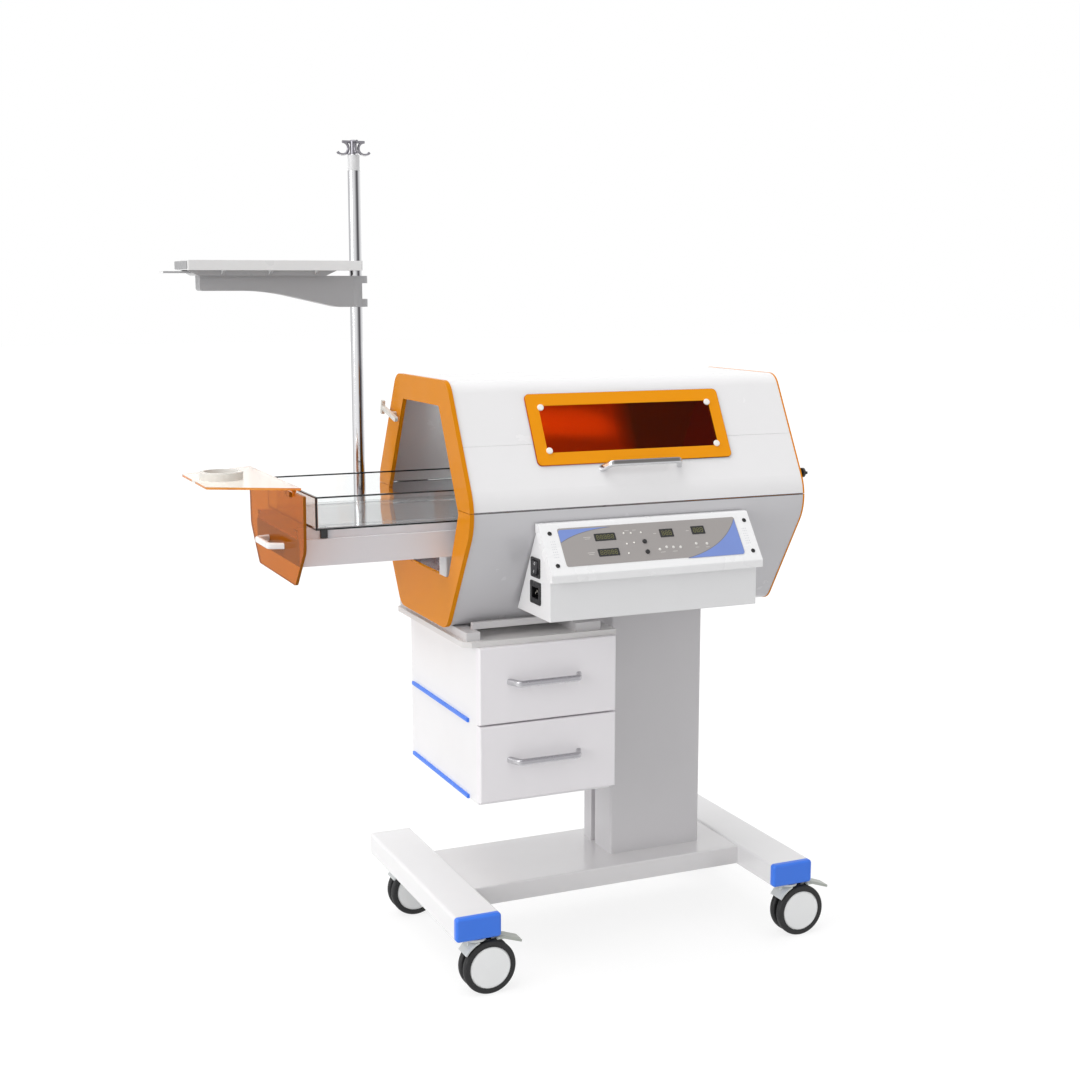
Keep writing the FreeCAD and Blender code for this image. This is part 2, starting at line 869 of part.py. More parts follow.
def lower_half(height):
    """Half width of the cabin at a height on its lower slope."""
    return f"(bottom_half + (({height}) - cabin_bottom) * {LOWER_LEAN})"


def inner_lower_half(height):
    """Half width inside the lower shell at a height."""
    return f"({lower_half(height)} - shell_wall * sqrt(1 + {LOWER_LEAN} * {LOWER_LEAN}))"


def cabin_section(sketch, proud="0"):
    """The cabin's outline, grown by a small amount for the end plates."""
    return polygon(sketch, mirrored([(f"bottom_half + {proud}", f"cabin_bottom - {proud}"),
                                     (f"knee_half + {proud}", "knee_height"),
                                     (f"top_half + {proud}", f"cabin_top + {proud}")]))


def cabin_prism(made, start, length, proud="0"):
    section = made.sketch("YZ", start)
    cabin_section(section, proud)
    made.pad(section, length)
    made.corners(section, [1, 4], "knee_round")
    made.corners(section, [0, 2, 3, 5], "edge_round")


def keep_below(made, height):
    """Cuts away everything above a height."""
    waste = made.sketch("YZ", CABIN_LEFT + " - 10")
    polygon(waste, box_points("-knee_half * 2", "knee_half * 2", height, "cabin_top + 100"))
    made.cut(waste, "cabin_length + 20")


def keep_above(made, height):
    """Cuts away everything below a height."""
    waste = made.sketch("YZ", CABIN_LEFT + " - 10")
    polygon(waste, box_points("-knee_half * 2", "knee_half * 2", "cabin_bottom - 100", height))
    made.cut(waste, "cabin_length + 20")


SHELL_START = f"({CABIN_LEFT} + plate_thick)"
SHELL_LENGTH = "(cabin_length - plate_thick - far_plate_thick)"
SEAM_LOW = "seam_height - seam_gap / 2"
SEAM_HIGH = "seam_height + seam_gap / 2"


def lower_shell():
    made = Piece("lower_shell")
    cabin_prism(made, SHELL_START, SHELL_LENGTH)
    made.thin(faces_along(FreeCAD.Vector(1, 0, 0)), "shell_wall")
    keep_below(made, SEAM_LOW)


def hood_shell():
    """The tilting upper shell, with the window hole and a shallow fold line across its front and back."""
    made = Piece("hood_shell")
    cabin_prism(made, SHELL_START, SHELL_LENGTH)
    made.thin(faces_along(FreeCAD.Vector(1, 0, 0)), "shell_wall")
    keep_above(made, SEAM_HIGH)
    fold = made.sketch("YZ", CABIN_LEFT)
    for way in ("-", ""):
        half = upper_half("fold_height")
        points = [(f"({half} - fold_depth)", "fold_height"), (f"({half} + 3)", "fold_height - fold_width / 2"),
                  (f"({half} + 3)", "fold_height + fold_width / 2")]
        polygon(fold, [(f"{way}{across}", up) for across, up in points])
    made.cut(fold, "cabin_length")
    hole = made.sketch("XZ", "0")
    lean = f"cos(atan({UPPER_LEAN}))"
    corners = []
    for side, end in (("-", "-"), ("", "-"), ("", ""), ("-", "")):
        short = (f"cabin_middle + {side}(hole_width / 2 - hole_corner)",
                 f"window_middle_height + {end}hole_height / 2 * {lean}")
        tall = (f"cabin_middle + {side}hole_width / 2",
                f"window_middle_height + {end}(hole_height / 2 - hole_corner) * {lean}")
        corners += [tall, short] if side == end else [short, tall]
    polygon(hole, corners)
    made.cut(hole, "knee_half")


def slope_piece(label, keep=True):
    """A piece drawn flat in the XZ plane and laid on the hood's front slope at the window."""
    made = Piece(label, keep)
    made.place("cabin_middle", f"-{upper_half('window_middle_height')}", "window_middle_height",
               (-1, 0, 0), f"atan({UPPER_LEAN})")
    return made


def window():
    """The window pane, laid over the hole and held by a screw at each corner of the hole."""
    pane = slope_piece("window_pane")
    face = pane.sketch("XZ", "0")
    polygon(face, box_points("-window_width / 2", "window_width / 2", "-window_height / 2", "window_height / 2"))
    pane.pad(face, "window_thick")
    pane.corners(face, [0, 1, 2, 3], "window_round")
    members = []
    holes = pane.sketch("XZ", "0")
    for side in ("-", ""):
        for end in ("-", ""):
            across = f"{side}(hole_width / 2 - screw_inset)"
            up = f"{end}(hole_height / 2 - screw_inset)"
            circle(holes, across, up, "screw_shank + running_gap")
            screw = slope_piece("window_screw", keep=False)
            head = screw.sketch("XZ", "window_thick")
            circle(head, across, up, "screw_radius")
            screw.pad(head, "screw_head")
            shank = screw.sketch("XZ", "window_thick")
            circle(shank, across, up, "screw_shank")
            screw.pad(shank, "window_thick", back=True)
            screw.fillet(lambda edge: edge.BoundBox.YMax < -get("window_thick") - get("screw_head") + 0.01,
                         "screw_head / 2")
            members.append(screw.body)
    pane.cut(holes, "window_thick")
    group("window_screws", members)


def end_plate(label, start, upper, kind, opening):
    """Half of an end plate, above or below the seam, with its share of the bed opening."""
    made = Piece(label)
    cabin_prism(made, start, kind + "_thick", kind + "_proud")
    if upper:
        keep_above(made, SEAM_HIGH)
    else:
        keep_below(made, SEAM_LOW)
    if opening:
        hole = made.sketch("YZ", start + " - 1")
        polygon(hole, mirrored([("opening_bottom_half", "opening_bottom"), ("opening_knee_half", "opening_knee"),
                                ("opening_top_half", "opening_top")]))
        made.cut(hole, "plate_thick + 2")
        made.corners(hole, [2, 3] if upper else [0, 5], "opening_round" if upper else "sill_round")
    return made


def hood_hinges(form):
    """Two block hinges on the cabin's back: lower leaves with the pin, upper leaves with the middle knuckle."""
    spots = (f"({CABIN_LEFT} + hinge_inset)", f"({CABIN_RIGHT} - hinge_inset - hinge_width)")
    lower, upper = [], []
    for spot in spots:
        members = ((lower, "-leaf_height", "-barrel_radius - 0.6", (0, 1), True),
                   (upper, "barrel_radius + 0.6", "leaf_height", (2,), False))
        for kind, low, high, knuckles, pinned in members:
            made = Piece("hinge_leaf", keep=False)
            leaf = made.sketch("YZ", "0")
            polygon(leaf, box_points("-leaf_thick * 2", "leaf_thick / 2", low, high))
            made.pad(leaf, "hinge_width")
            middle = "hinge_width - 2 * knuckle_width - 2 * seat_gap"
            places = {0: ("0", "knuckle_width"), 1: ("hinge_width - knuckle_width", "knuckle_width"),
                      2: ("knuckle_width + seat_gap", middle)}
            for number in knuckles:
                start, width = places[number]
                barrel = made.sketch("YZ", start)
                circle(barrel, "0", "0", "barrel_radius")
                made.pad(barrel, width)
                web = made.sketch("YZ", start)
                polygon(web, box_points("-barrel_radius + 0.2", "leaf_thick / 2", low if pinned else "0",
                                        "0" if pinned else high))
                made.pad(web, width)
            if pinned:
                pin = made.sketch("YZ", "0")
                circle(pin, "0", "0", "pin_radius")
                made.pad(pin, "hinge_width")
            else:
                bore = made.sketch("YZ", "0")
                circle(bore, "0", "0", "pin_radius + running_gap")
                made.cut(bore, "hinge_width")
            made.place(spot, "hinge_back", "seam_height")
            kind.append(made.body)
    for label, members in (("hood_hinge_lower", lower), ("hood_hinge_upper", upper)):
        whole = doc.addObject("Part::Compound", label + "_blank")
        whole.Links = members
        trimmed(label, whole, form)


def hood_catch():
    """A round turn knob on the right end plate that holds the hood shut."""
    made = Piece("hood_catch")
    neck = made.sketch("YZ", f"{CABIN_RIGHT} + seat_gap")
    circle(neck, "0", "0", "catch_radius * 0.55")
    made.pad(neck, "catch_neck")
    knob = made.sketch("YZ", f"{CABIN_RIGHT} + catch_neck")
    circle(knob, "0", "0", "catch_radius")
    made.pad(knob, "catch_grip * 0.5")
    grip = made.sketch("YZ", f"{CABIN_RIGHT} + catch_neck")
    polygon(grip, box_points("-catch_radius * 0.85", "catch_radius * 0.85", "-catch_radius * 0.28",
                             "catch_radius * 0.28"))
    made.pad(grip, "catch_grip")
    made.place("0", "catch_front", "catch_height")


def flap_latch():
    """A turn latch on the left end plate: a neck, a long bar over the flap's edge and a cross grip."""
    made = Piece("flap_latch")
    neck = made.sketch("YZ", f"{CABIN_LEFT} - seat_gap")
    circle(neck, "0", "0", "latch_neck_radius")
    made.pad(neck, "latch_neck", back=True)
    bar = made.sketch("YZ", f"{CABIN_LEFT} - latch_neck")
    polygon(bar, box_points("-latch_bar / 2", "latch_bar / 2", "-latch_bar_height / 2", "latch_bar_height / 2"))
    made.pad(bar, "latch_bar_thick", back=True)
    made.corners(bar, [0, 3], "latch_bar_height / 2.2")
    tee = made.sketch("YZ", f"{CABIN_LEFT} - latch_neck")
    polygon(tee, box_points("latch_bar / 2", "latch_bar / 2 + latch_bar_height", "-latch_tee / 2", "latch_tee / 2"))
    made.pad(tee, "latch_bar_thick", back=True)
    made.place("0", "latch_back", "latch_height", (1, 0, 0), "latch_tilt")


def tray_rails():
    """Two fixed guide rails on the lower shell that the bed carriage slides in."""
    members = []
    for way in ("-", ""):
        made = Piece("tray_rail", keep=False)
        section = made.sketch("YZ", f"{SHELL_START} + 2")
        low, side = "(carriage_bottom - seat_gap - carriage_wall)", "(carriage_half + seat_gap)"
        ledge = "(carriage_bottom + rail_lip / 2)"
        points = [(f"({side} - rail_flange)", low), (f"({inner_lower_half(low)} - seat_gap)", low),
                  (f"({inner_lower_half(ledge)} - seat_gap)", ledge), (f"({side} + carriage_wall)", ledge),
                  (f"({side} + carriage_wall)", "carriage_bottom + rail_lip"), (side, "carriage_bottom + rail_lip"),
                  (side, "carriage_bottom - seat_gap"), (f"({side} - rail_flange)", "carriage_bottom - seat_gap")]
        polygon(section, [(f"{way}{across}", up) for across, up in points])
        made.pad(section, f"{SHELL_LENGTH} - 4")
        members.append(made.body)
    group("tray_rails", members + carriage_guides())


def carriage_guides():
    """Two guide blocks on the sill of the opening that steady the carriage."""
    members = []
    for way in ("-", ""):
        near, far = f"{way}(guide_middle - guide_width / 2)", f"{way}(guide_middle + guide_width / 2)"
        front, back = (far, near) if way else (near, far)
        made, base = block("carriage_guide", CABIN_LEFT, f"{CABIN_LEFT} + guide_depth", front, back,
                           "opening_bottom", "carriage_bottom - seat_gap", keep=False)
        made.fillet(upright, "3")
        members.append(made.body)
    return members


def carriage():
    """The sliding frame under the bed: two folded side rails joined by a cross member at each end."""
    made = Piece("bed_carriage")
    top = "(carriage_bottom + carriage_height)"
    for way in ("-", ""):
        section = made.sketch("YZ", "carriage_left")
        inset = "(carriage_half - step_inset)"
        points = [("(carriage_half - carriage_flange)", "carriage_bottom"), ("carriage_half", "carriage_bottom"),
                  ("carriage_half", top), (inset, top), (inset, f"{top} + step_height"),
                  (f"({inset} - step_width)", f"{top} + step_height"),
                  (f"({inset} - step_width)", f"{top} + step_height - carriage_wall"),
                  (f"({inset} - carriage_wall)", f"{top} + step_height - carriage_wall"),
                  (f"({inset} - carriage_wall)", f"{top} - carriage_wall"),
                  ("(carriage_half - carriage_wall)", f"{top} - carriage_wall"),
                  ("(carriage_half - carriage_wall)", "carriage_bottom + carriage_wall"),
                  ("(carriage_half - carriage_flange)", "carriage_bottom + carriage_wall")]
        polygon(section, [(f"{way}{across}", up) for across, up in points])
        made.pad(section, "carriage_length")
    for start in ("carriage_left", "carriage_left + carriage_length - carriage_wall"):
        cross = made.sketch("YZ", start)
        polygon(cross, box_points("-carriage_half + carriage_wall", "carriage_half - carriage_wall",
                                  "carriage_bottom", top))
        made.pad(cross, "carriage_wall")


BED_BOTTOM = "(carriage_bottom + carriage_height + step_height)"


def bed_tray():
    """The clear bed: a floor and four low walls."""
    made, base = block("bed_tray", "bed_left", "bed_left + bed_length", "-bed_half", "bed_half",
                       BED_BOTTOM, f"{BED_BOTTOM} + bed_height")
    inside = made.sketch("XY", f"{BED_BOTTOM} + bed_wall")
    polygon(inside, box_points("bed_left + bed_wall", "bed_left + bed_length - bed_wall", "-bed_half + bed_wall",
                               "bed_half - bed_wall"))
    made.cut(inside, "bed_height")
    made.fillet(upright, "bed_wall / 2.5")


def bed_clips():
    """A clip at each front corner of the bed that holds it to the carriage."""
    members = []
    for way in ("-", ""):
        inner = f"{way}(carriage_half - step_inset + 0.01)"
        outer = f"{way}(carriage_half - step_inset + clip_thick)"
        front, back = (outer, inner) if way else (inner, outer)
        made, base = block("bed_clip", "bed_left + 12", "bed_left + 12 + clip_width", front, back,
                           f"{BED_BOTTOM} - clip_height", BED_BOTTOM, keep=False)
        made.fillet(upright, "1.5")
        members.append(made.body)
    group("bed_clips", members)


DOOR_OUTER = "(carriage_left - door_thick)"
FLAP_AXIS = f"({DOOR_OUTER} - flap_axis_out)"
FLAP_HEIGHT = "(door_top + flap_axis_up)"


def flap_knuckles(made, inner, outer, stem):
    """A barrel on each side of the middle, with a stem that joins it to its panel."""
    for way in ("-", ""):
        near, far = f"{way}({inner})", f"{way}({outer})"
        length = f"({outer}) - ({inner})"
        start = far if way else near
        barrel = made.sketch("XZ", f"-({start}) - ({length})")
        circle(barrel, FLAP_AXIS, FLAP_HEIGHT, "flap_barrel")
        made.pad(barrel, length)
        web = made.sketch("XZ", f"-({start}) - ({length})")
        polygon(web, stem)
        made.pad(web, length)


def end_door():
    """The door on the outer end of the carriage, with two knuckles for the flap."""
    made = Piece("end_door")
    face = made.sketch("YZ", DOOR_OUTER)
    polygon(face, mirrored([("door_bottom_half", "door_bottom"), ("door_knee_half", "door_knee"),
                            ("door_top_half", "door_top")]))
    made.pad(face, "door_thick")
    made.corners(face, [0, 5], "door_round")
    made.corners(face, [1, 4], "door_round * 3")
    stem = box_points(f"{FLAP_AXIS} - 1", f"{DOOR_OUTER}", "door_top - 9", "door_top + 2")
    flap_knuckles(made, "flap_knuckle_middle - flap_knuckle - seat_gap", "flap_knuckle_middle - seat_gap", stem)
    for way in ("-", ""):
        start = f"{way}(flap_knuckle_middle)"
        pin = made.sketch("XZ", f"-({start}) - flap_knuckle")
        circle(pin, FLAP_AXIS, FLAP_HEIGHT, "flap_pin")
        made.pad(pin, "flap_knuckle * 2", back=False)
    return made


def door_flap():
    """The flap that folds up from the door over the opening, with a raised ring round its hand port."""
    made = Piece("door_flap")
    low = f"({FLAP_HEIGHT} + flap_barrel + 0.4)"
    panel = made.sketch("XY", low)
    near, far = DOOR_OUTER, f"({FLAP_AXIS} - flap_length + flap_axis_out)"
    polygon(panel, [(near, "-flap_hinge_half"), (near, "flap_hinge_half"), (far, "flap_tip_half"),
                    (far, "-flap_tip_half")])
    made.pad(panel, "flap_thick")
    made.corners(panel, [2, 3], "flap_round")
    ring = made.sketch("XY", low)
    circle(ring, f"{FLAP_AXIS} - collar_out", "0", "collar_radius")
    made.pad(ring, "flap_thick + collar_height")
    rim = get("door_top") + get("flap_axis_up") + get("flap_barrel") + get("flap_thick") + get("collar_height")
    made.fillet(lambda edge: edge.BoundBox.ZMin > rim - 1, "2.5")
    port = made.sketch("XY", low)
    circle(port, f"{FLAP_AXIS} - collar_out", "0", "port_radius")
    made.cut(port, "flap_thick + collar_height")
    stem = box_points(f"{FLAP_AXIS} - flap_barrel + 0.5", f"{FLAP_AXIS} + flap_barrel - 0.5", FLAP_HEIGHT, low)
    flap_knuckles(made, "flap_knuckle_middle", "flap_knuckle_middle + flap_knuckle", stem)
    bore = made.sketch("XZ", "-support_depth")
    circle(bore, FLAP_AXIS, FLAP_HEIGHT, "flap_pin + running_gap")
    made.cut(bore, "2 * support_depth")


REFLECTOR_LENGTH = "(cabin_length - 2 * plate_thick - 2 * reflector_end_gap)"


def lamp_unit():
    """A folded reflector with end brackets low in the cabin, and the tubes that it holds."""
    made = Piece("lamp_reflector")
    section = made.sketch("YZ", f"cabin_middle - {REFLECTOR_LENGTH} / 2")
    low = "(cabin_bottom + shell_wall)"
    outer = [(f"({inner_lower_half(low)} - reflector_gap * 2.5)", low),
             (f"({inner_lower_half('reflector_top')} - reflector_gap * 2.5)", "reflector_top"),
             (f"({inner_lower_half('reflector_top')} - reflector_gap * 2.5 - reflector_wall * 1.2)", "reflector_top"),
             (f"({inner_lower_half(low)} - reflector_gap * 2.5 - reflector_wall * 0.7)", f"{low} + reflector_wall")]
    polygon(section, outer + [(f"-{across}", up) for across, up in reversed(outer)])
    made.pad(section, REFLECTOR_LENGTH)
    for start in (f"cabin_middle - {REFLECTOR_LENGTH} / 2", f"cabin_middle + {REFLECTOR_LENGTH} / 2 - lamp_radius"):
        bracket = made.sketch("YZ", start)
        polygon(bracket, box_points("-lamp_pitch * 2.5", "lamp_pitch * 2.5", low, "lamp_height + lamp_radius * 1.5"))
        made.pad(bracket, "lamp_radius")
    members = []
    for number in range(-2, 3):
        tube = Piece("lamp_tube", keep=False)
        glass = tube.sketch("YZ", f"cabin_middle - {REFLECTOR_LENGTH} / 2 + lamp_radius + seat_gap")
        circle(glass, f"{number} * lamp_pitch", "lamp_height", "lamp_radius")
        tube.pad(glass, f"{REFLECTOR_LENGTH} - 2 * lamp_radius - 2 * seat_gap")
        members.append(tube.body)
    group("lamp_tubes", members)


BEZEL_LEAN = "((bezel_brow - bezel_nose) / nose_drop)"
FACE_MIDDLE_HEIGHT = "(bezel_top - nose_drop / 2)"
FACE_MIDDLE_FRONT = "((bezel_brow + bezel_nose) / 2)"


def control_box():
    """The box body, with a seat for the switch and inlet module on its left side."""
    made = Piece("control_box")
    section = made.sketch("YZ", "box_middle - box_length / 2")
    top_front = "(bezel_brow + bezel_thick - 2)"
    polygon(section, [("box_front", "box_bottom"), ("box_foot_back", "box_bottom"), ("box_top_back", "box_top"),
                      (top_front, "box_top"), ("box_front", f"box_top - (({top_front}) - box_front) / {BEZEL_LEAN}")])
    made.pad(section, "box_length")
    made.corners(section, [0], "bezel_round / 2")
    seats = made.sketch("YZ", "box_middle - box_length / 2")
    for middle, width, height in (("rocker_middle", "rocker_frame_width", "rocker_frame_height"),
                                  ("inlet_middle", "inlet_width", "inlet_height")):
        polygon(seats, box_points(f"module_back - {width} / 2 + 3", f"module_back + {width} / 2 - 3",
                                  f"{middle} - {height} / 2 + 3", f"{middle} + {height} / 2 - 3"))
    made.cut(seats, "module_depth + 1")
    for across in ("box_middle - box_length / 4", "box_middle + box_length / 4"):
        rib = made.sketch("YZ", f"{across} - mount_rib / 2")
        low, high = "(box_bottom + 45)", "(box_top - 35)"
        foot = "(box_foot_back + (box_top_back - box_foot_back) * (({}) - box_bottom) / (box_top - box_bottom))"
        polygon(rib, [(foot.format(low) + " - 4", low), (f"-{lower_half(low)} - seat_gap", low),
                      (f"-{lower_half(high)} - seat_gap", high), (foot.format(high) + " - 4", high)])
        made.pad(rib, "mount_rib")


def control_bezel():
    """The moulded front that caps the box, with its sloping face, rounded nose and two button wells."""
    made = Piece("control_bezel")
    section = made.sketch("YZ", "box_middle - bezel_length / 2")
    top_front = "(bezel_brow + bezel_thick - 2)"
    shoulder = f"(box_top - (({top_front}) - box_front) / {BEZEL_LEAN})"
    polygon(section, [("bezel_back", "bezel_top"), ("bezel_brow", "bezel_top"), ("bezel_nose", "bezel_top - nose_drop"),
                      ("bezel_nose", "nose_bottom"), ("box_front - seat_gap", "nose_bottom"),
                      ("box_front - seat_gap", f"{shoulder} + seat_gap"),
                      (f"{top_front} - seat_gap", "box_top + seat_gap"), ("bezel_back", "box_top + seat_gap")])
    made.pad(section, "bezel_length")
    made.corners(section, [1, 2], "bezel_round")
    return made


def face_piece(label, keep=True):
    """A piece drawn flat in the XZ plane and laid on the bezel's sloping face."""
    made = Piece(label, keep)
    made.place("box_middle", FACE_MIDDLE_FRONT, FACE_MIDDLE_HEIGHT, (-1, 0, 0), f"atan({BEZEL_LEAN})")
    return made


def control_face(bezel):
    """The overlay and the two push buttons that pass through it into the bezel."""
    overlay = face_piece("control_overlay")
    sheet_face = overlay.sketch("XZ", "0")
    polygon(sheet_face, box_points("-overlay_width / 2", "overlay_width / 2", "overlay_lift - overlay_height / 2",
                                   "overlay_lift + overlay_height / 2"))
    overlay.pad(sheet_face, "overlay_thick")
    overlay.corners(sheet_face, [0, 1, 2, 3], "overlay_round")
    holes = overlay.sketch("XZ", "0")
    wells = face_piece("button_wells", keep=False)
    sinks = wells.sketch("XZ", "0")
    face_top = f"(nose_drop / 2 / cos(atan({BEZEL_LEAN})))"
    for name, down in (("upper", "upper_button"), ("lower", "lower_button")):
        spot = ("button_left - box_middle", f"{face_top} - {down}")
        circle(holes, *spot, "button_radius + 0.3")
        circle(sinks, *spot, "button_radius + 0.3")
        button = face_piece("push_button_" + name)
        face = button.sketch("XZ", "overlay_thick + button_proud")
        circle(face, *spot, "button_radius")
        button.pad(face, "button_length", back=True)
        button.fillet(lambda edge: edge.BoundBox.YMax < -get("overlay_thick") - get("button_proud") + 0.01, "0.8")
    overlay.cut(holes, "overlay_thick")
    wells.pad(sinks, "button_well", back=True)
    bezel.body.Label = "control_bezel_blank"
    pieces.remove(bezel.body)
    trimmed("control_bezel", bezel.body, wells.body)


def power_entry():
    """The black switch frame and the inlet with its socket, seated in the left side of the box."""
    side = "(box_middle - box_length / 2)"
    members = []
    for kind, middle, width, height in (("rocker", "rocker_middle", "rocker_frame_width", "rocker_frame_height"),
                                        ("inlet", "inlet_middle", "inlet_width", "inlet_height")):
        made = Piece(kind + "_module", keep=False)
        flange = made.sketch("YZ", side)
        polygon(flange, box_points(f"module_back - {width} / 2", f"module_back + {width} / 2",
                                   f"{middle} - {height} / 2", f"{middle} + {height} / 2"))
        made.pad(flange, "flange_thick", back=True)
        made.corners(flange, [0, 1, 2, 3], "module_round")
        inner = made.sketch("YZ", side)
        polygon(inner, box_points(f"module_back - {width} / 2 + 3.3", f"module_back + {width} / 2 - 3.3",
                                  f"{middle} - {height} / 2 + 3.3", f"{middle} + {height} / 2 - 3.3"))
        made.pad(inner, "module_depth")
        hollow = made.sketch("YZ", f"{side} - flange_thick")
        if kind == "rocker":
            wide, tall, deep = "rocker_width + 1", "rocker_height + 2", "module_depth - 2"
        else:
            wide, tall, deep = "socket_width", "socket_height", "socket_depth + flange_thick"
        polygon(hollow, box_points(f"module_back - ({wide}) / 2", f"module_back + ({wide}) / 2",
                                   f"{middle} - ({tall}) / 2", f"{middle} + ({tall}) / 2"))
        made.cut(hollow, deep)
        if kind == "rocker":
            pin = made.sketch("XZ", "-module_back - rocker_width / 2 - 2")
            circle(pin, f"{side} + 1", middle, "rocker_pin")
            made.pad(pin, "rocker_width + 4")
        members.append(made.body)
    group("power_entry", members)


def rocker():
    """The mains rocker: a shallow vee block on a stem that tips about a pivot across its middle."""
    made = Piece("rocker_switch")
    section = made.sketch("XZ", "0")
    polygon(section, [("0", "-rocker_height / 2 + 1"), ("0", "-3"), ("8.3", "-2"), ("8.3", "2"), ("0", "3"),
                      ("0", "rocker_height / 2 - 1"), ("-rocker_bulge", "rocker_height / 2 - 1"),
                      ("-rocker_bulge * 0.75", "0"), ("-rocker_bulge", "-rocker_height / 2 + 1")])
    made.pad(section, "rocker_width", both=True)
    bore = made.sketch("XZ", "0")
    circle(bore, "0", "0", "rocker_pin + running_gap")
    made.cut(bore, "rocker_width", both=True)
    made.place("box_middle - box_length / 2 + 1", "module_back", "rocker_middle", (0, 1, 0), "rocker_tilt")


def pole_bracket(form):
    """The bracket on the back of the lower shell that carries the pole past the cabin's end."""
    made = Piece("pole_bracket_blank", keep=False)
    foot = made.sketch("XY", "bracket_bottom")
    right = f"({CABIN_LEFT} + plate_thick + bracket_reach)"
    low, high = "(pole_back - bracket_arm / 2)", "(pole_back + bracket_arm / 2)"
    polygon(foot, [("pole_across", low), (f"{right} - bracket_foot - 14", low), (f"{right} - bracket_foot", f"{low} - 14"),
                   (f"{right} - bracket_foot", "bottom_half"), (right, "bottom_half"),
                   (right, f"{high} - 14"), (f"{right} - 14", high), ("pole_across", high)])
    made.pad(foot, "bracket_height")
    ring = made.sketch("XY", "bracket_bottom - 3")
    circle(ring, "pole_across", "pole_back", "bracket_ring")
    made.pad(ring, "bracket_height + 6")
    bore = made.sketch("XY", "bracket_bottom - 3")
    circle(bore, "pole_across", "pole_back", "pole_radius + running_gap")
    made.cut(bore, "bracket_height + 6")
    trimmed("pole_bracket", made.body, form)


def pole():
    """The hollow pole."""
    made = Piece("pole_tube", keep=False)
    tube = made.sketch("XY", "pole_bottom")
    circle(tube, "0", "0", "pole_radius")
    circle(tube, "0", "0", "pole_bore")
    made.pad(tube, "pole_top - pole_bottom")
    made.place("pole_across", "pole_back")
    return made.body


HOOK_HEIGHT = "(collar_top + hook_rise)"


def hook_head():
    """The head of the pole: a plug and collar, a short neck, and four curled hooks with a rounded finial."""
    made = Piece("hook_head", keep=False)
    for start, radius, length in (("pole_top - head_plug", "pole_bore - running_gap", "head_plug + 1"),
                                  ("pole_top", "collar_width / 2", "collar_top - pole_top"),
                                  ("collar_top - 1", "finial_radius", "hook_rise + 5")):
        step = made.sketch("XY", start)
        circle(step, "0", "0", radius)
        made.pad(step, length)
    made.fillet(lambda edge: edge.BoundBox.ZMin > get("collar_top") + get("hook_rise") + 3.9, "finial_radius / 2")
    bar = made.sketch("YZ", "0")
    circle(bar, "0", HOOK_HEIGHT, "hook_wire")
    arm = made.pad(bar, "hook_reach")
    curl = made.sketch("YZ", "hook_reach")
    circle(curl, "0", HOOK_HEIGHT, "hook_wire")
    axis = curl.addGeometry(Part.LineSegment(FreeCAD.Vector(-20, 5, 0), FreeCAD.Vector(20, 5, 0)), True)
    curl.addConstraint(Sketcher.Constraint("Horizontal", axis))
    number = curl.addConstraint(Sketcher.Constraint("DistanceY", -1, 1, axis, 1, 5.0))
    curl.renameConstraint(number, "axis_height")
    curl.setExpression("Constraints.axis_height", cells(f"{HOOK_HEIGHT} - hook_curl"))
    turn = made.spin(curl, (curl, ["Axis0"]), "hook_turn")
    turn.Reversed = True
    doc.recompute()
    if turn.Shape.BoundBox.XMax < get("hook_reach") + 0.5 * get("hook_curl"):
        turn.Reversed = False
        doc.recompute()
    spread = made.body.newObject("PartDesign::PolarPattern", "hook_spread")
    spread.Originals = [arm, turn]
    spread.Axis = (next(f for f in made.body.Origin.OriginFeatures if f.Role == "Z_Axis"), [""])
    spread.Angle = 360
    spread.Occurrences = 4
    made.body.Tip = spread
    made.place("pole_across", "pole_back")
    return made.body


def shelf_arm():
    """The cast arm: two clamp rings round the pole, a deep root and a slim flat tip."""
    made = Piece("shelf_arm")
    ring = made.sketch("XY", "arm_bottom")
    circle(ring, "0", "0", "arm_clamp")
    made.pad(ring, "arm_top - arm_bottom")
    side = made.sketch("XZ", "0")
    polygon(side, [("0", "arm_bottom"), ("0", "arm_top"), ("-pad_gap_right", "arm_top"),
                   ("-arm_length", "arm_top"), ("-arm_length", "arm_tip_bottom"),
                   ("-arm_slope_end", "arm_tip_bottom"), ("-arm_shoulder", "arm_bottom")])
    made.pad(side, "arm_width", both=True)
    made.corners(side, [5], "arm_bend")
    made.corners(side, [6], "arm_bend / 8")
    made.corners(side, [4], "5")
    bore = made.sketch("XY", "arm_bottom")
    circle(bore, "0", "0", "pole_radius + running_gap")
    made.cut(bore, "arm_top - arm_bottom")
    window = made.sketch("XZ", "0")
    polygon(window, box_points("arm_window_back", "arm_clamp + 5", "arm_window_low", "arm_window_high"))
    made.cut(window, "arm_width * 2", both=True)
    made.place("pole_across", "pole_back")


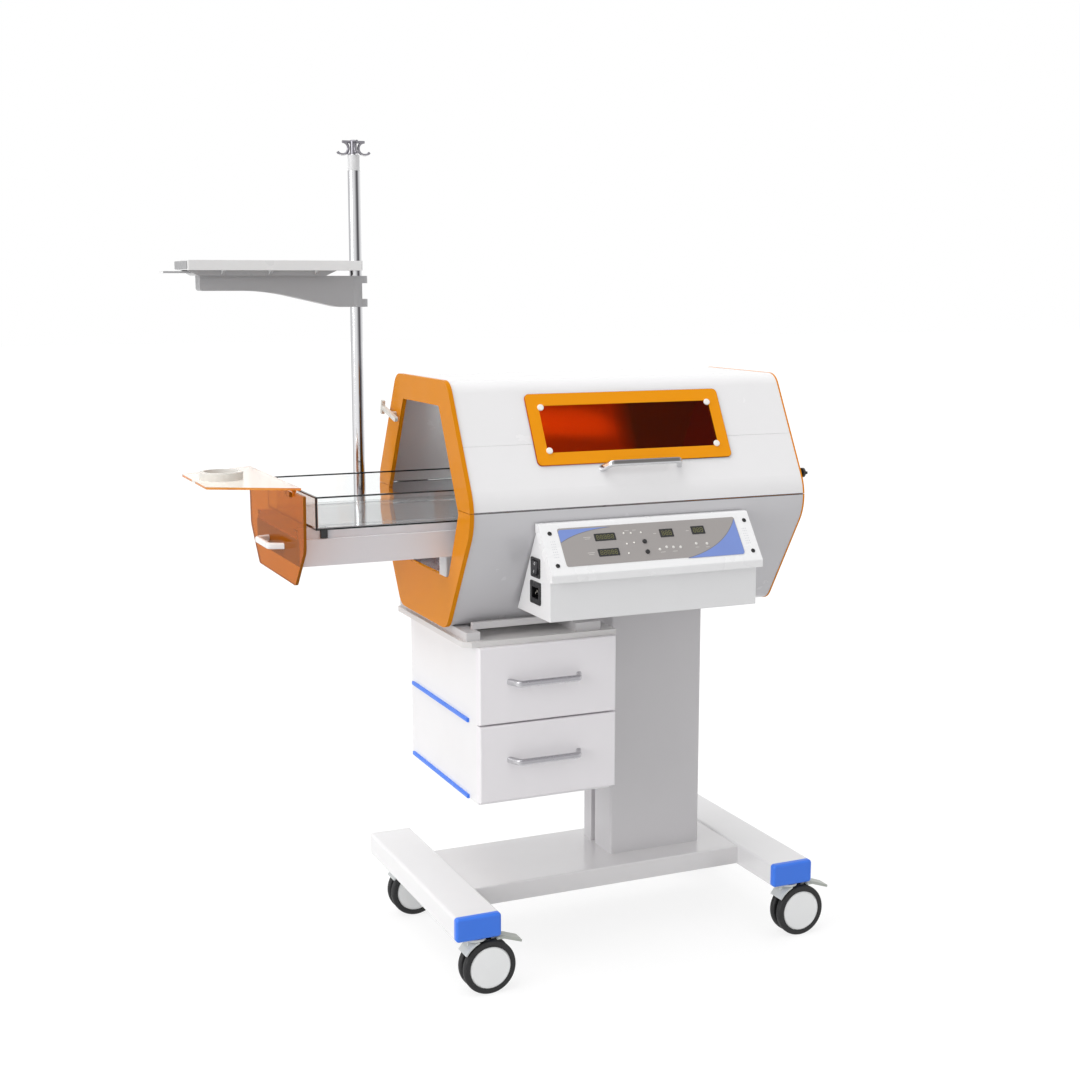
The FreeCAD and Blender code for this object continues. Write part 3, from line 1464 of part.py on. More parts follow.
def shelf():
    """The instrument shelf: a thick board notched for the pole, with a tapered pad, ribs and a leaf below."""
    made = Piece("shelf_board")
    board = made.sketch("XY", "shelf_bottom")
    left, right = "(shelf_left - pole_across)", "(shelf_right - pole_across)"
    polygon(board, box_points(left, right, "-shelf_half_depth", "shelf_half_depth"))
    made.pad(board, "shelf_thick")
    made.corners(board, [0, 1, 2, 3], "shelf_round")
    notch = made.sketch("XY", "shelf_bottom")
    circle(notch, "0", "0", "pole_radius + 1.5")
    made.cut(notch, "shelf_thick")
    pad_left, pad_right = f"({left} + pad_gap_left)", f"({right} - pad_gap_right)"
    pad = made.sketch("XZ", "0")
    polygon(pad, [(f"{pad_left}", "arm_top"), (f"{pad_right} - pad_taper", "arm_top"), (pad_right, "shelf_bottom"),
                  (f"{left} + 4", "shelf_bottom")])
    made.pad(pad, "2 * pad_half_depth", both=True)
    leaf = made.sketch("XY", "shelf_bottom - 2 - leaf_sheet")
    polygon(leaf, [(f"{left} - leaf_reach", "-leaf_half_depth * 0.6"), (f"{pad_left} + 20", "-leaf_half_depth"),
                   (f"{pad_left} + 20", "leaf_half_depth"), (f"{left} - leaf_reach", "leaf_half_depth * 0.6")])
    made.pad(leaf, "leaf_sheet")
    for number in range(3):
        rib = made.sketch("YZ", f"rib_left - pole_across + {number} * rib_pitch")
        polygon(rib, [("-shelf_half_depth + 2", "shelf_bottom"), ("-pad_half_depth", "arm_top + 1"),
                      ("pad_half_depth", "arm_top + 1"), ("shelf_half_depth - 2", "shelf_bottom")])
        made.pad(rib, "rib_thick")
    made.place("pole_across", "pole_back")


def whole():
    """Builds every sub-part."""
    leg("base_leg_left", "-1")
    leg("base_leg_right", "1")
    end_caps()
    crossbeam()
    front, rear = "(front_caster_inset - leg_length / 2)", "(leg_length / 2 - rear_caster_inset)"
    caster("front_left", "-1", front, True)
    caster("front_right", "1", front, True)
    caster("rear_left", "-1", rear, False)
    caster("rear_right", "1", rear, False)
    column()
    support_frame()
    cabinet_carcass()
    cabinet_top()
    side_strips()
    for name, number in (("lower", 0), ("upper", 1)):
        height = drawer(name, number)
        handle = bow_handle("drawer_handle_" + name, "drawer_handle_span")
        handle.place("cabinet_left + cabinet_width / 2 + drawer_handle_shift", "cabinet_front", height)

    form = Piece("cabin_form", keep=False)
    cabin_prism(form, SHELL_START, SHELL_LENGTH)
    lower_shell()
    hood_shell()
    end_plate("end_frame_upper", CABIN_LEFT, True, "plate", True)
    end_plate("end_frame_lower", CABIN_LEFT, False, "plate", True)
    far_start = f"({CABIN_RIGHT} - far_plate_thick)"
    end_plate("end_plate_upper", far_start, True, "far_plate", False)
    end_plate("end_plate_lower", far_start, False, "far_plate", False)
    window()
    hood_handle = bow_handle("hood_handle", "hood_handle_span")
    hood_handle.place("cabin_middle + hood_handle_shift", f"-{upper_half('hood_handle_height')}", "hood_handle_height",
                      (-1, 0, 0), f"atan({UPPER_LEAN})")
    hood_hinges(form.body)
    hood_catch()
    flap_latch()

    tray_rails()
    carriage()
    bed_tray()
    bed_clips()
    end_door()
    door_handle = bow_handle("door_handle", "door_handle_span")
    door_handle.place(DOOR_OUTER, "0", "door_handle_height", (0, 0, 1), "-90")
    door_flap()
    lamp_unit()

    control_box()
    control_face(control_bezel())
    power_entry()
    rocker()
    pole_bracket(form.body)
    group("drip_pole", [pole(), hook_head()])
    shelf_arm()
    shelf()


def check_and_write():
    """Stops on any failed object or broken shape, then writes one file for each sub-part."""
    doc.recompute()
    for made in doc.Objects:
        if "Invalid" in made.State or "Error" in made.State:
            raise RuntimeError(f"{made.Name} failed: {made.State}")
    for made in pieces:
        if made.Shape.isNull() or not made.Shape.isValid() or not made.Shape.Solids:
            raise RuntimeError(f"{made.Label} has no valid solid")
    os.makedirs("parts", exist_ok=True)
    for made in pieces:
        made.Shape.exportStep(f"parts/{made.Label}.step")
    print(len(pieces), "sub-parts written")


whole()
check_and_write()
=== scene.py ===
import math

import bmesh
import bpy
from bpy.props import FloatProperty, FloatVectorProperty, PointerProperty
from mathutils import Matrix, Vector


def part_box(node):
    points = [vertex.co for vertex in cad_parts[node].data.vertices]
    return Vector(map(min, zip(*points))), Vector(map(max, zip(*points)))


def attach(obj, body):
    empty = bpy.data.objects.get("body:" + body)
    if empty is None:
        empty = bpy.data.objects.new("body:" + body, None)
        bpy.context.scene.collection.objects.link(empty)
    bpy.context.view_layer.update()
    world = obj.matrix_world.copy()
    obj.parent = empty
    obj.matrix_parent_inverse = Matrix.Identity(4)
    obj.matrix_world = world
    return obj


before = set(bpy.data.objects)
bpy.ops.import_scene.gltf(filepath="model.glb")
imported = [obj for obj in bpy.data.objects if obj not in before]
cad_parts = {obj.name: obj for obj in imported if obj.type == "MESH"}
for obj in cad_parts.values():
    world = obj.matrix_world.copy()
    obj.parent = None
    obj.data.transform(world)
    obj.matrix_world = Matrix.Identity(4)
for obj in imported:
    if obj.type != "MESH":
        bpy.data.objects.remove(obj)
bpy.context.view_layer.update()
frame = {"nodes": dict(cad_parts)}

bl_info = {
    "name": "Infant incubator finishes",
    "version": (1, 0, 0),
    "blender": (4, 5, 0),
    "location": "3D View > Sidebar > Incubator",
    "description": "Dresses the packed incubator with its finishes, panel details, light and camera",
    "category": "Object",
}

NODES = frame["nodes"]
MM = 0.001
# The colour sockets of a Mix node: its two inputs and its output
MIX_UNDER, MIX_OVER, MIX_RESULT = 6, 7, 2
# A face of a flat sheet is one of its edges if it looks less squarely than this along the sheet's direction
EDGE_LIMIT = 0.6


# Colours and node trees

def linear(text):
    """An sRGB hex colour as linear red, green and blue."""
    parts = [int(text[n:n + 2], 16) / 255 for n in (1, 3, 5)]
    return tuple(v / 12.92 if v <= 0.04045 else ((v + 0.055) / 1.055) ** 2.4 for v in parts)


def add(tree, kind, settings=None, links=None):
    """Adds one node, with its settings and the sockets that feed it."""
    made = tree.nodes.new(kind)
    for name, value in (settings or {}).items():
        if isinstance(name, int) or name in made.inputs:
            made.inputs[name].default_value = value
        else:
            setattr(made, name, value)
    for name, source in (links or {}).items():
        tree.links.new(source, made.inputs[name])
    return made


def surface(name, colour, gloss, drift=0.04, patch=120.0, grain=1.5, depth=0.02, **sockets):
    """A finish with soft drifts of tone, a fine grain and uneven gloss.

    patch and grain are the widths in mm of a tone patch and of one grain, depth is the grain's height in mm,
    and gloss is the lowest and highest roughness.
    """
    made = bpy.data.materials.get(name)
    if made:
        return made
    made = bpy.data.materials.new(name)
    made.use_nodes = True
    tree = made.node_tree
    tree.nodes.clear()
    place = add(tree, "ShaderNodeTexCoord").outputs["Object"]
    cloud = add(tree, "ShaderNodeTexNoise", {"Scale": 1 / (patch * MM), "Detail": 3.0}, {"Vector": place})
    darker = tuple(v * (1 - drift) for v in colour)
    tones = add(tree, "ShaderNodeMix", {"data_type": "RGBA", MIX_UNDER: (*colour, 1), MIX_OVER: (*darker, 1)},
                {"Factor": cloud.outputs["Fac"]})
    fine = add(tree, "ShaderNodeTexNoise", {"Scale": 1 / (grain * MM), "Detail": 2.0}, {"Vector": place})
    bump = add(tree, "ShaderNodeBump", {"Strength": 0.5, "Distance": depth * MM},
               {"Height": fine.outputs["Fac"]})
    # The gloss varies in patches that are 0.4 times as wide as those of the colour
    handled = add(tree, "ShaderNodeTexNoise", {"Scale": 1 / (patch * 0.4 * MM), "Detail": 5.0},
                  {"Vector": place})
    spread = add(tree, "ShaderNodeMapRange",
                 {"From Min": 0.3, "From Max": 0.7, "To Min": gloss[0], "To Max": gloss[1]},
                 {"Value": handled.outputs["Fac"]})
    shader = add(tree, "ShaderNodeBsdfPrincipled", sockets, {
        "Base Color": tones.outputs[MIX_RESULT], "Roughness": spread.outputs["Result"],
        "Normal": bump.outputs["Normal"]})
    add(tree, "ShaderNodeOutputMaterial", links={"Surface": shader.outputs["BSDF"]})
    return made


def retint(made, colour, mask, clear=False):
    """Lays a second colour over a finish where the mask is 1, and there makes clear plastic opaque."""
    tree = made.node_tree
    shader = tree.nodes["Principled BSDF"]
    under = shader.inputs["Base Color"].links[0].from_socket
    over = add(tree, "ShaderNodeMix", {"data_type": "RGBA", MIX_OVER: (*colour, 1)},
               {"Factor": mask, MIX_UNDER: under})
    tree.links.new(over.outputs[MIX_RESULT], shader.inputs["Base Color"])
    if clear:
        whole = shader.inputs["Transmission Weight"].default_value
        rest = add(tree, "ShaderNodeMapRange", {"To Min": whole, "To Max": 0.0}, {"Value": mask})
        tree.links.new(rest.outputs["Result"], shader.inputs["Transmission Weight"])
    return made


def position(tree, axis):
    """Where a point of the surface lies along an axis."""
    place = add(tree, "ShaderNodeTexCoord").outputs["Object"]
    return add(tree, "ShaderNodeSeparateXYZ", links={"Vector": place}).outputs[axis]


def squareness(tree, direction):
    """How squarely a face looks along a direction, either way, from 0 to 1."""
    normal = add(tree, "ShaderNodeTexCoord").outputs["Normal"]
    along = add(tree, "ShaderNodeVectorMath", {"operation": "DOT_PRODUCT", 1: direction}, {0: normal})
    size = add(tree, "ShaderNodeMath", {"operation": "ABSOLUTE"}, {0: along.outputs["Value"]})
    return size.outputs["Value"]


def edges(tree, facing):
    """A mask that is 1 on the narrow edges of a flat sheet whose faces look along a direction."""
    return add(tree, "ShaderNodeMath", {"operation": "LESS_THAN", 1: EDGE_LIMIT},
               {0: squareness(tree, facing)}).outputs["Value"]


def height_mask(made, height, side="GREATER_THAN"):
    """A mask that is 1 above a height in mm, or below it with LESS_THAN."""
    return add(made.node_tree, "ShaderNodeMath", {"operation": side, 1: height * MM},
               {0: position(made.node_tree, "Z")}).outputs["Value"]


def left_mask(made, whole, none):
    """A mask that falls from 1 to 0 between two places along x, in mm."""
    ends = {"From Min": whole * MM, "From Max": none * MM, "To Min": 1.0, "To Max": 0.0}
    return add(made.node_tree, "ShaderNodeMapRange", ends,
               {"Value": position(made.node_tree, "X")}).outputs["Result"]


def under_mask(made, height):
    """A mask that is 1 below a height in mm, apart from the faces that look sideways along x."""
    tree = made.node_tree
    level = edges(tree, (1.0, 0.0, 0.0))
    return add(tree, "ShaderNodeMath", {"operation": "MULTIPLY"},
               {0: level, 1: height_mask(made, height, "LESS_THAN")}).outputs["Value"]


def rim_mask(made, facing, apart=None, side="GREATER_THAN"):
    """A mask of a flat sheet's edges, all of them or some.

    facing is the direction that the sheet's faces look along. apart is a point in mm and a radius: only
    edges farther from the point count, or with LESS_THAN only nearer ones.
    """
    tree = made.node_tree
    edge = edges(tree, facing)
    if not apart:
        return edge
    middle, radius = apart
    place = add(tree, "ShaderNodeTexCoord").outputs["Object"]
    away = add(tree, "ShaderNodeVectorMath", {"operation": "DISTANCE", 1: Vector(middle) * MM}, {0: place})
    chosen = add(tree, "ShaderNodeMath", {"operation": side, 1: radius * MM}, {0: away.outputs["Value"]})
    return add(tree, "ShaderNodeMath", {"operation": "MULTIPLY"},
               {0: edge, 1: chosen.outputs["Value"]}).outputs["Value"]


# Finishes, named for what the real piece is made of

def powder_coat(name, colour, **more):
    """Powder-coated steel: a satin coat whose orange peel of about 2 mm breaks up long reflections."""
    return surface(name, colour, (0.32, 0.45), grain=2.0, depth=0.03, IOR=1.5, **more)


def moulded(name, colour, gloss=(0.16, 0.28), **more):
    """Injection-moulded plastic: one even colour, a soft gloss and a spark texture of under 1 mm."""
    return surface(name, colour, gloss, drift=0.03, grain=0.8, depth=0.008, IOR=1.53, **more)


def acrylic(name, colour, clear=1.0, bend=1.49, rim=None, facing=None, apart=None):
    """Cast acrylic sheet: clear or tinted, throws a light shadow, and has its edges painted a deeper colour, a
    painted shade for the colour that light gathers along the sheet.

    clear is how much light goes straight through, bend is the refractive index that sets the mirror shine,
    and rim, facing and apart are the painted colour of the edges and what rim_mask takes.
    """
    made = surface(name, colour, (0.015, 0.05), drift=0.02, patch=60.0, grain=30.0, depth=0.02,
                   IOR=bend, **{"Transmission Weight": clear, "Specular IOR Level": 0.4})
    # Painted shade: the edges get their own opaque colour for the deeper colour that light takes along the
    # sheet
    if facing:
        retint(made, rim, rim_mask(made, facing, apart), clear=True)
    tree = made.node_tree
    shader = tree.nodes["Principled BSDF"]
    through = add(tree, "ShaderNodeBsdfTransparent", {"Color": (*(v ** 0.5 for v in colour), 1)})
    shade = add(tree, "ShaderNodeLightPath").outputs["Is Shadow Ray"]
    both = add(tree, "ShaderNodeMixShader",
               links={0: shade, 1: shader.outputs["BSDF"], 2: through.outputs["BSDF"]})
    tree.links.new(both.outputs["Shader"], tree.nodes["Material Output"].inputs["Surface"])
    return made


def ink(name, colour, drift, patch, grain=0.6, depth=0.004):
    """Printed ink: a thin matt film, a little uneven in tone as a screen or a pad leaves it."""
    return surface(name, colour, (0.3, 0.4), drift=drift, patch=patch, grain=grain, depth=depth, IOR=1.5)


def bright_metal(name, colour, dark, gloss, bands):
    """Polished tube or bar: bright metal with long dark bands painted along its length as painted reflections.

    Each painted reflection band is the direction that its middle faces, how narrow it is and how strong.
    """
    made = surface(name, colour, gloss, drift=0.05, patch=40.0, grain=0.3, depth=0.0008, Metallic=1.0)
    if "bands" in made:
        return made
    made["bands"] = len(bands)
    tree = made.node_tree
    # Each band darkens the faces that look along its direction: a painted reflection, not a mark on the metal
    for facing, narrow, strength in bands:
        band = add(tree, "ShaderNodeMath", {"operation": "POWER", 1: narrow, "use_clamp": True},
                   {0: squareness(tree, facing)})
        share = add(tree, "ShaderNodeMath", {"operation": "MULTIPLY", 1: strength}, {0: band.outputs["Value"]})
        retint(made, dark, share.outputs["Value"])
    return made


def dress(finish, *names):
    """Gives CAD nodes a finish."""
    for name in names:
        slots = NODES[name].data.materials
        slots.clear()
        slots.append(finish)


# Outlines and forms, in mm on a face whose own x runs right, y up and z out

SMOOTH_BELOW = math.radians(35)
BEVEL_ABOVE = math.radians(40)


def rounded(width, height, radius, across=0.0, up=0.0, steps=6):
    """The corner points of a rounded rectangle."""
    points = []
    for corner, (side, end) in enumerate(((1, 1), (-1, 1), (-1, -1), (1, -1))):
        for step in range(steps + 1):
            turn = math.radians(90 * (corner + step / steps))
            points.append((across + side * (width / 2 - radius) + radius * math.cos(turn),
                           up + end * (height / 2 - radius) + radius * math.sin(turn)))
    return points


def swept(start, middle, end, steps=16):
    """Points along a soft curve from start to end that leans towards a middle point."""
    points = []
    for step in range(steps + 1):
        t = step / steps
        points.append(tuple(a * (1 - t) ** 2 + 2 * b * t * (1 - t) + c * t * t
                            for a, b, c in zip(start, middle, end)))
    return points


def plate(points, low, high):
    """A plate with an outline, between two heights."""
    def draw(form):
        under = [form.verts.new((x * MM, y * MM, low * MM)) for x, y in points]
        over = [form.verts.new((x * MM, y * MM, high * MM)) for x, y in points]
        form.faces.new(under)
        form.faces.new(over)
        for n in range(len(points)):
            form.faces.new((under[n - 1], under[n], over[n], over[n - 1]))
    return draw


def border(outer, inner, low, high):
    """A flat ring between two outlines with as many points, between two heights."""
    def draw(form):
        rings = [[form.verts.new((x * MM, y * MM, z * MM)) for x, y in points]
                 for points, z in ((outer, low), (outer, high), (inner, high), (inner, low))]
        for n in range(len(outer)):
            for first, second in zip(rings, rings[1:] + rings[:1]):
                form.faces.new((first[n - 1], first[n], second[n], second[n - 1]))
    return draw


def turned(profile, across=0.0, up=0.0, sides=48, closed=False):
    """A turned form from a profile of radii and heights; a closed profile makes a ring."""
    def draw(form):
        turns = [2 * math.pi * n / sides for n in range(sides)]
        rings = [[form.verts.new(((across + radius * math.cos(turn)) * MM,
                                  (up + radius * math.sin(turn)) * MM, height * MM)) for turn in turns]
                 for radius, height in profile]
        for first, second in zip(rings, rings[1:] + rings[:1] if closed else rings[1:]):
            for n in range(sides):
                form.faces.new((first[n - 1], first[n], second[n], second[n - 1]))
        if not closed:
            form.faces.new(rings[0])
            form.faces.new(rings[-1])
    return draw


def face_at(origin, right, up):
    """The placing of a face: its middle in mm, and its right and up directions."""
    x = Vector(right).normalized()
    y = Vector(up).normalized()
    return Matrix.Translation(Vector(origin) * MM) @ Matrix((x, y, x.cross(y))).transposed().to_4x4()


def piece(name, draws, finish, body, where, bevel=0.0):
    """Makes one piece on a face from its forms, softens its edges and rides it on its body."""
    form = bmesh.new()
    for draw in draws:
        draw(form)
    bmesh.ops.transform(form, matrix=where, verts=form.verts)
    bmesh.ops.recalc_face_normals(form, faces=form.faces)
    for edge in form.edges:
        edge.smooth = len(edge.link_faces) == 2 and edge.calc_face_angle(0.0) < SMOOTH_BELOW
    for face in form.faces:
        face.smooth = True
    mesh = bpy.data.meshes.new(name)
    form.to_mesh(mesh)
    form.free()
    mesh.materials.append(finish)
    made = bpy.data.objects.new(name, mesh)
    bpy.context.scene.collection.objects.link(made)
    if bevel:
        soft = made.modifiers.new("soft_edges", "BEVEL")
        soft.width = bevel * MM
        soft.segments = 2
        soft.limit_method = "ANGLE"
        soft.angle_limit = BEVEL_ABOVE
    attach(made, body)
    return made


def height_on(node, where):
    """How far in mm the node's outermost point stands off a face."""
    back = where.inverted()
    return max((back @ vertex.co).z for vertex in NODES[node].data.vertices) / MM


# Sizes and colours that a user would change

class IncubatorColours(bpy.types.PropertyGroup):
    hood: FloatVectorProperty(name="Hood", description="White of the moulded shells", subtype="COLOR",
                              default=linear("#f0eff0"))
    frame: FloatVectorProperty(name="End frame", description="Orange of the end frames", subtype="COLOR",
                               default=linear("#dd8a12"))
    window: FloatVectorProperty(name="Window", description="Orange printed round the window", subtype="COLOR",
                                default=linear("#f29a00"))
    steel: FloatVectorProperty(name="Legs", description="White of the coated legs", subtype="COLOR",
                               default=linear("#ebeaeb"))
    column: FloatVectorProperty(name="Column", description="Grey of the column", subtype="COLOR",
                                default=linear("#d4d2d4"))
    blue: FloatVectorProperty(name="Trim", description="Blue of the caps and side strips", subtype="COLOR",
                              default=linear("#3379ee"))
    overlay: FloatVectorProperty(name="Overlay", description="Grey of the panel's overlay", subtype="COLOR",
                                 default=linear("#9f9a98"))


class IncubatorSizes(bpy.types.PropertyGroup):
    display_lift: FloatProperty(name="Display lift", default=0.5, min=0.1, soft_max=2.0,
                                description="Height of a display window off the overlay, in mm")
    key_radius: FloatProperty(name="Key radius", description="Radius of a round panel key, in mm",
                              default=2.7, min=1.0, soft_max=6.0)
    panel_screw: FloatProperty(name="Panel screw", description="Radius of a panel screw, in mm",
                               default=4.0, min=1.0, soft_max=6.0)


class IncubatorStudio(bpy.types.PropertyGroup):
    world_light: FloatProperty(name="World light", description="Strength of the even light from all round",
                               default=0.66, min=0.0, soft_max=2.0)
    left_light: FloatProperty(name="Left light", description="Strength of the wide soft light from the left",
                              default=1.12, min=0.0, soft_max=5.0)
    top_light: FloatProperty(name="Top light", description="Strength of the wide soft light from above",
                             default=1.28, min=0.0, soft_max=5.0)
    cabin_light: FloatProperty(name="Cabin light", description="Power of the beam inside the cabin",
                               default=0.022, min=0.0, unit="POWER")
    floor_glow: FloatProperty(name="Floor glow", default=0.6, min=0.0, max=1.0, subtype="FACTOR",
                              description="How much of the floor is plain white to the camera")


# Places on the CAD part, in mm. A caster's place is its middle, across and along.
CASTERS = (("front_left", -304.3, -226.0), ("front_right", 348.3, -226.0),
           ("rear_left", -304.3, 173.0), ("rear_right", 348.3, 173.0))
WHEEL_MIDDLE = 50.0
HUB_FACE = 15.7

# The control panel leans back, so that a mm up the panel is PANEL_RISE mm of height
PANEL_ACROSS = -9.0
PANEL_HEIGHT = 807.5
PANEL_RISE = 0.8036
PANEL = face_at((PANEL_ACROSS, -286.0, PANEL_HEIGHT), (1, 0, 0), (0, 60, 81))

# The window lies on the hood's front, which runs down from the top edge to the knee
TOP_HALF, TOP_HEIGHT = 133.0, 1089.0
KNEE_HALF, KNEE_HEIGHT = 256.0, 862.0
WINDOW_HEIGHT = 1003.0
SLOPE = (KNEE_HALF - TOP_HALF) / (TOP_HEIGHT - KNEE_HEIGHT)
WINDOW_OUT = TOP_HALF + (TOP_HEIGHT - WINDOW_HEIGHT) * SLOPE
WINDOW = face_at((-3.5, -WINDOW_OUT, WINDOW_HEIGHT), (1, 0, 0), (0, SLOPE, 1))

# The gasket's line along the seam between the hood and the lower shell
GASKET_LOW = 869.2
GASKET_HIGH = 872.4

# The flap's hand port: its middle, and a radius round its collar that leaves the flap's own rim out
PORT = ((-706.0, 0.0, 920.0), 50.0)

ROCKER_MIDDLE = (-212.0, -238.0, 769.5)
ROCKER_FACE = 4.6
INLET_FLOOR = (-204.2, -238.0, 725.0)
POLE_SHOULDER = 1500.5
SLEEVE_FOOT = (-375.0, 260.0, 1470.4)
BOARD_UNDERSIDE = 1281.8


class INCUBATOR_OT_base(bpy.types.Operator):
    """Finishes the legs, the cross beam, the column, the support rails and the blue trim"""
    bl_idname = "incubator.base"
    bl_label = "Base and column"

    def execute(self, context):
        colours = context.scene.incubator_colours
        # The base has a clear top coat: it mirrors the room where it is seen at a low angle
        top_coat = {"Coat Weight": 1.0, "Coat Roughness": 0.15}
        leg = powder_coat("powder_coated_steel_leg", colours.steel, **top_coat)
        dress(leg, "base_leg_left", "base_leg_right")
        dress(powder_coat("powder_coated_steel_beam", linear("#e4e2e3"), **top_coat), "base_crossbeam")
        dress(powder_coat("powder_coated_steel_column", colours.column), "column")
        dress(powder_coat("powder_coated_steel_support", linear("#d2d0d1")), "cabin_support_frame")
        dress(moulded("moulded_polypropylene_blue", colours.blue, (0.3, 0.42)), "leg_end_caps",
              "cabinet_side_strips")
        return {"FINISHED"}


class INCUBATOR_OT_casters(bpy.types.Operator):
    """Finishes the casters and adds the domed hub covers"""
    bl_idname = "incubator.casters"
    bl_label = "Casters"

    def execute(self, context):
        # Thermoplastic rubber: dull black, a little dusty where it rolls
        rubber = surface("thermoplastic_rubber_tread", linear("#0e0e10"), (0.5, 0.7), drift=0.3, patch=9.0,
                         grain=1.2, depth=0.06, IOR=1.52)
        nylon = moulded("moulded_nylon_housing", linear("#d0d3d3"), (0.28, 0.42))
        cover = moulded("moulded_nylon_hub", linear("#fafbfb"), (0.12, 0.22))
        dome = [(36.5, 0.0), (36.5, 0.5), (35.5, 1.0), (30.0, 1.6), (20.0, 2.1), (10.0, 2.4), (2.0, 2.5)]
        ring = [(37.0, 0.0), (38.6, 0.0), (38.6, 1.4), (37.9, 1.8), (37.0, 1.2)]
        forms = [turned(dome, sides=64), turned(ring, sides=64, closed=True)]
        for corner, across, along in CASTERS:
            dress(rubber, "caster_tyres_" + corner)
            dress(cover, "caster_hubs_" + corner)
            dress(nylon, "caster_housing_" + corner)
            for side, way in (("near", -1), ("far", 1)):
                where = face_at((across, along + way * HUB_FACE, WHEEL_MIDDLE), (-way, 0, 0), (0, 0, 1))
                piece(f"hub_cover_{side}_{corner}", forms, cover, "wheel_" + corner, where)
        dress(moulded("moulded_nylon_pedal", linear("#b4b8b1"), (0.3, 0.45)), "brake_pedal_front_left",
              "brake_pedal_front_right")
        return {"FINISHED"}


class INCUBATOR_OT_cabinet(bpy.types.Operator):
    """Finishes the drawer cabinet and its bow handles"""
    bl_idname = "incubator.cabinet"
    bl_label = "Drawer cabinet"

    def execute(self, context):
        dress(powder_coat("powder_coated_steel_cabinet", linear("#f1f0f1")), "cabinet_carcass")
        dress(powder_coat("powder_coated_steel_drawer", linear("#f4f1f4")), "drawer_upper", "drawer_lower")
        dress(powder_coat("powder_coated_steel_top", linear("#dcdad9")), "cabinet_top")
        # Painted reflections: a dark band on the handles' front faces and a weaker one on their tops
        satin = bright_metal("satin_chromed_zinc_handle", linear("#d6d6d8"), linear("#86838a"), (0.18, 0.3),
                             (((0.0, -0.92, 0.38), 2.5, 0.85), ((0.0, 0.0, 1.0), 6.0, 0.5)))
        dress(satin, "drawer_handle_upper", "drawer_handle_lower")
        return {"FINISHED"}


class INCUBATOR_OT_cabin(bpy.types.Operator):
    """Finishes the shells, the end frames and the window, and adds the window's printed border"""
    bl_idname = "incubator.cabin"
    bl_label = "Cabin"

    def execute(self, context):
        colours = context.scene.incubator_colours
        # A grey gasket shows as a thin line along the seam where the hood closes on the lower shell
        hood = moulded("moulded_abs_hood", colours.hood)
        retint(hood, linear("#6a6668"), height_mask(hood, GASKET_HIGH, "LESS_THAN"))
        dress(hood, "hood_shell")
        # Painted shade: the lower shell is given a greyer white than the hood, for its downward-facing faces
        shell = moulded("moulded_abs_lower_shell_painted_shade", linear("#cfced1"))
        retint(shell, linear("#6a6668"), height_mask(shell, GASKET_LOW))
        dress(shell, "lower_shell")
        # A low index keeps the orange deep where the frames are seen at a low angle
        dress(surface("moulded_abs_frame", colours.frame, (0.14, 0.26), drift=0.03, grain=0.8, depth=0.008,
                      IOR=1.12), "end_frame_upper", "end_frame_lower", "end_plate_upper", "end_plate_lower")
        dress(powder_coat("die_cast_zinc_hinge", linear("#77777a")), "hood_hinge_lower", "hood_hinge_upper")
        dress(moulded("moulded_nylon_black", linear("#1b1b1c"), (0.3, 0.45)), "hood_catch", "bed_clips")
        dress(moulded("moulded_nylon_latch", linear("#dcd9d2"), (0.2, 0.35)), "flap_latch")
        dress(moulded("moulded_nylon_screw", linear("#f6f4ef"), (0.2, 0.3)), "window_screws")
        # Painted reflection: a dark band on the bar's faces that look out along the hood's front slope
        chrome = bright_metal("chromed_bar_handle", linear("#d8d8da"), linear("#4e4a48"), (0.08, 0.16),
                              (((0.0, -0.88, 0.476), 5.0, 0.85),))
        dress(chrome, "hood_handle")
        # The pane is deep amber with opaque orange ink printed round its edge; its redder left end is painted
        # light
        pane = acrylic("cast_acrylic_amber", linear("#862e00"), bend=1.1)
        # Painted light: the pane's left end is drawn redder, for the light from the open end inside the cabin
        retint(pane, linear("#ff4200"), left_mask(pane, -35.0, 5.0))
        dress(pane, "window_pane")
        orange = surface("screen_printed_ink_orange", colours.window, (0.1, 0.18), drift=0.03, patch=90.0,
                         grain=0.8, depth=0.004, IOR=1.49, **{"Specular IOR Level": 0.15})
        lift = height_on("window_pane", WINDOW)
        ring = border(rounded(388.4, 136.4, 8.7), rounded(343.0, 90.0, 5.0), lift, lift + 0.2)
        piece("window_border", [ring], orange, "hood", WINDOW)
        return {"FINISHED"}


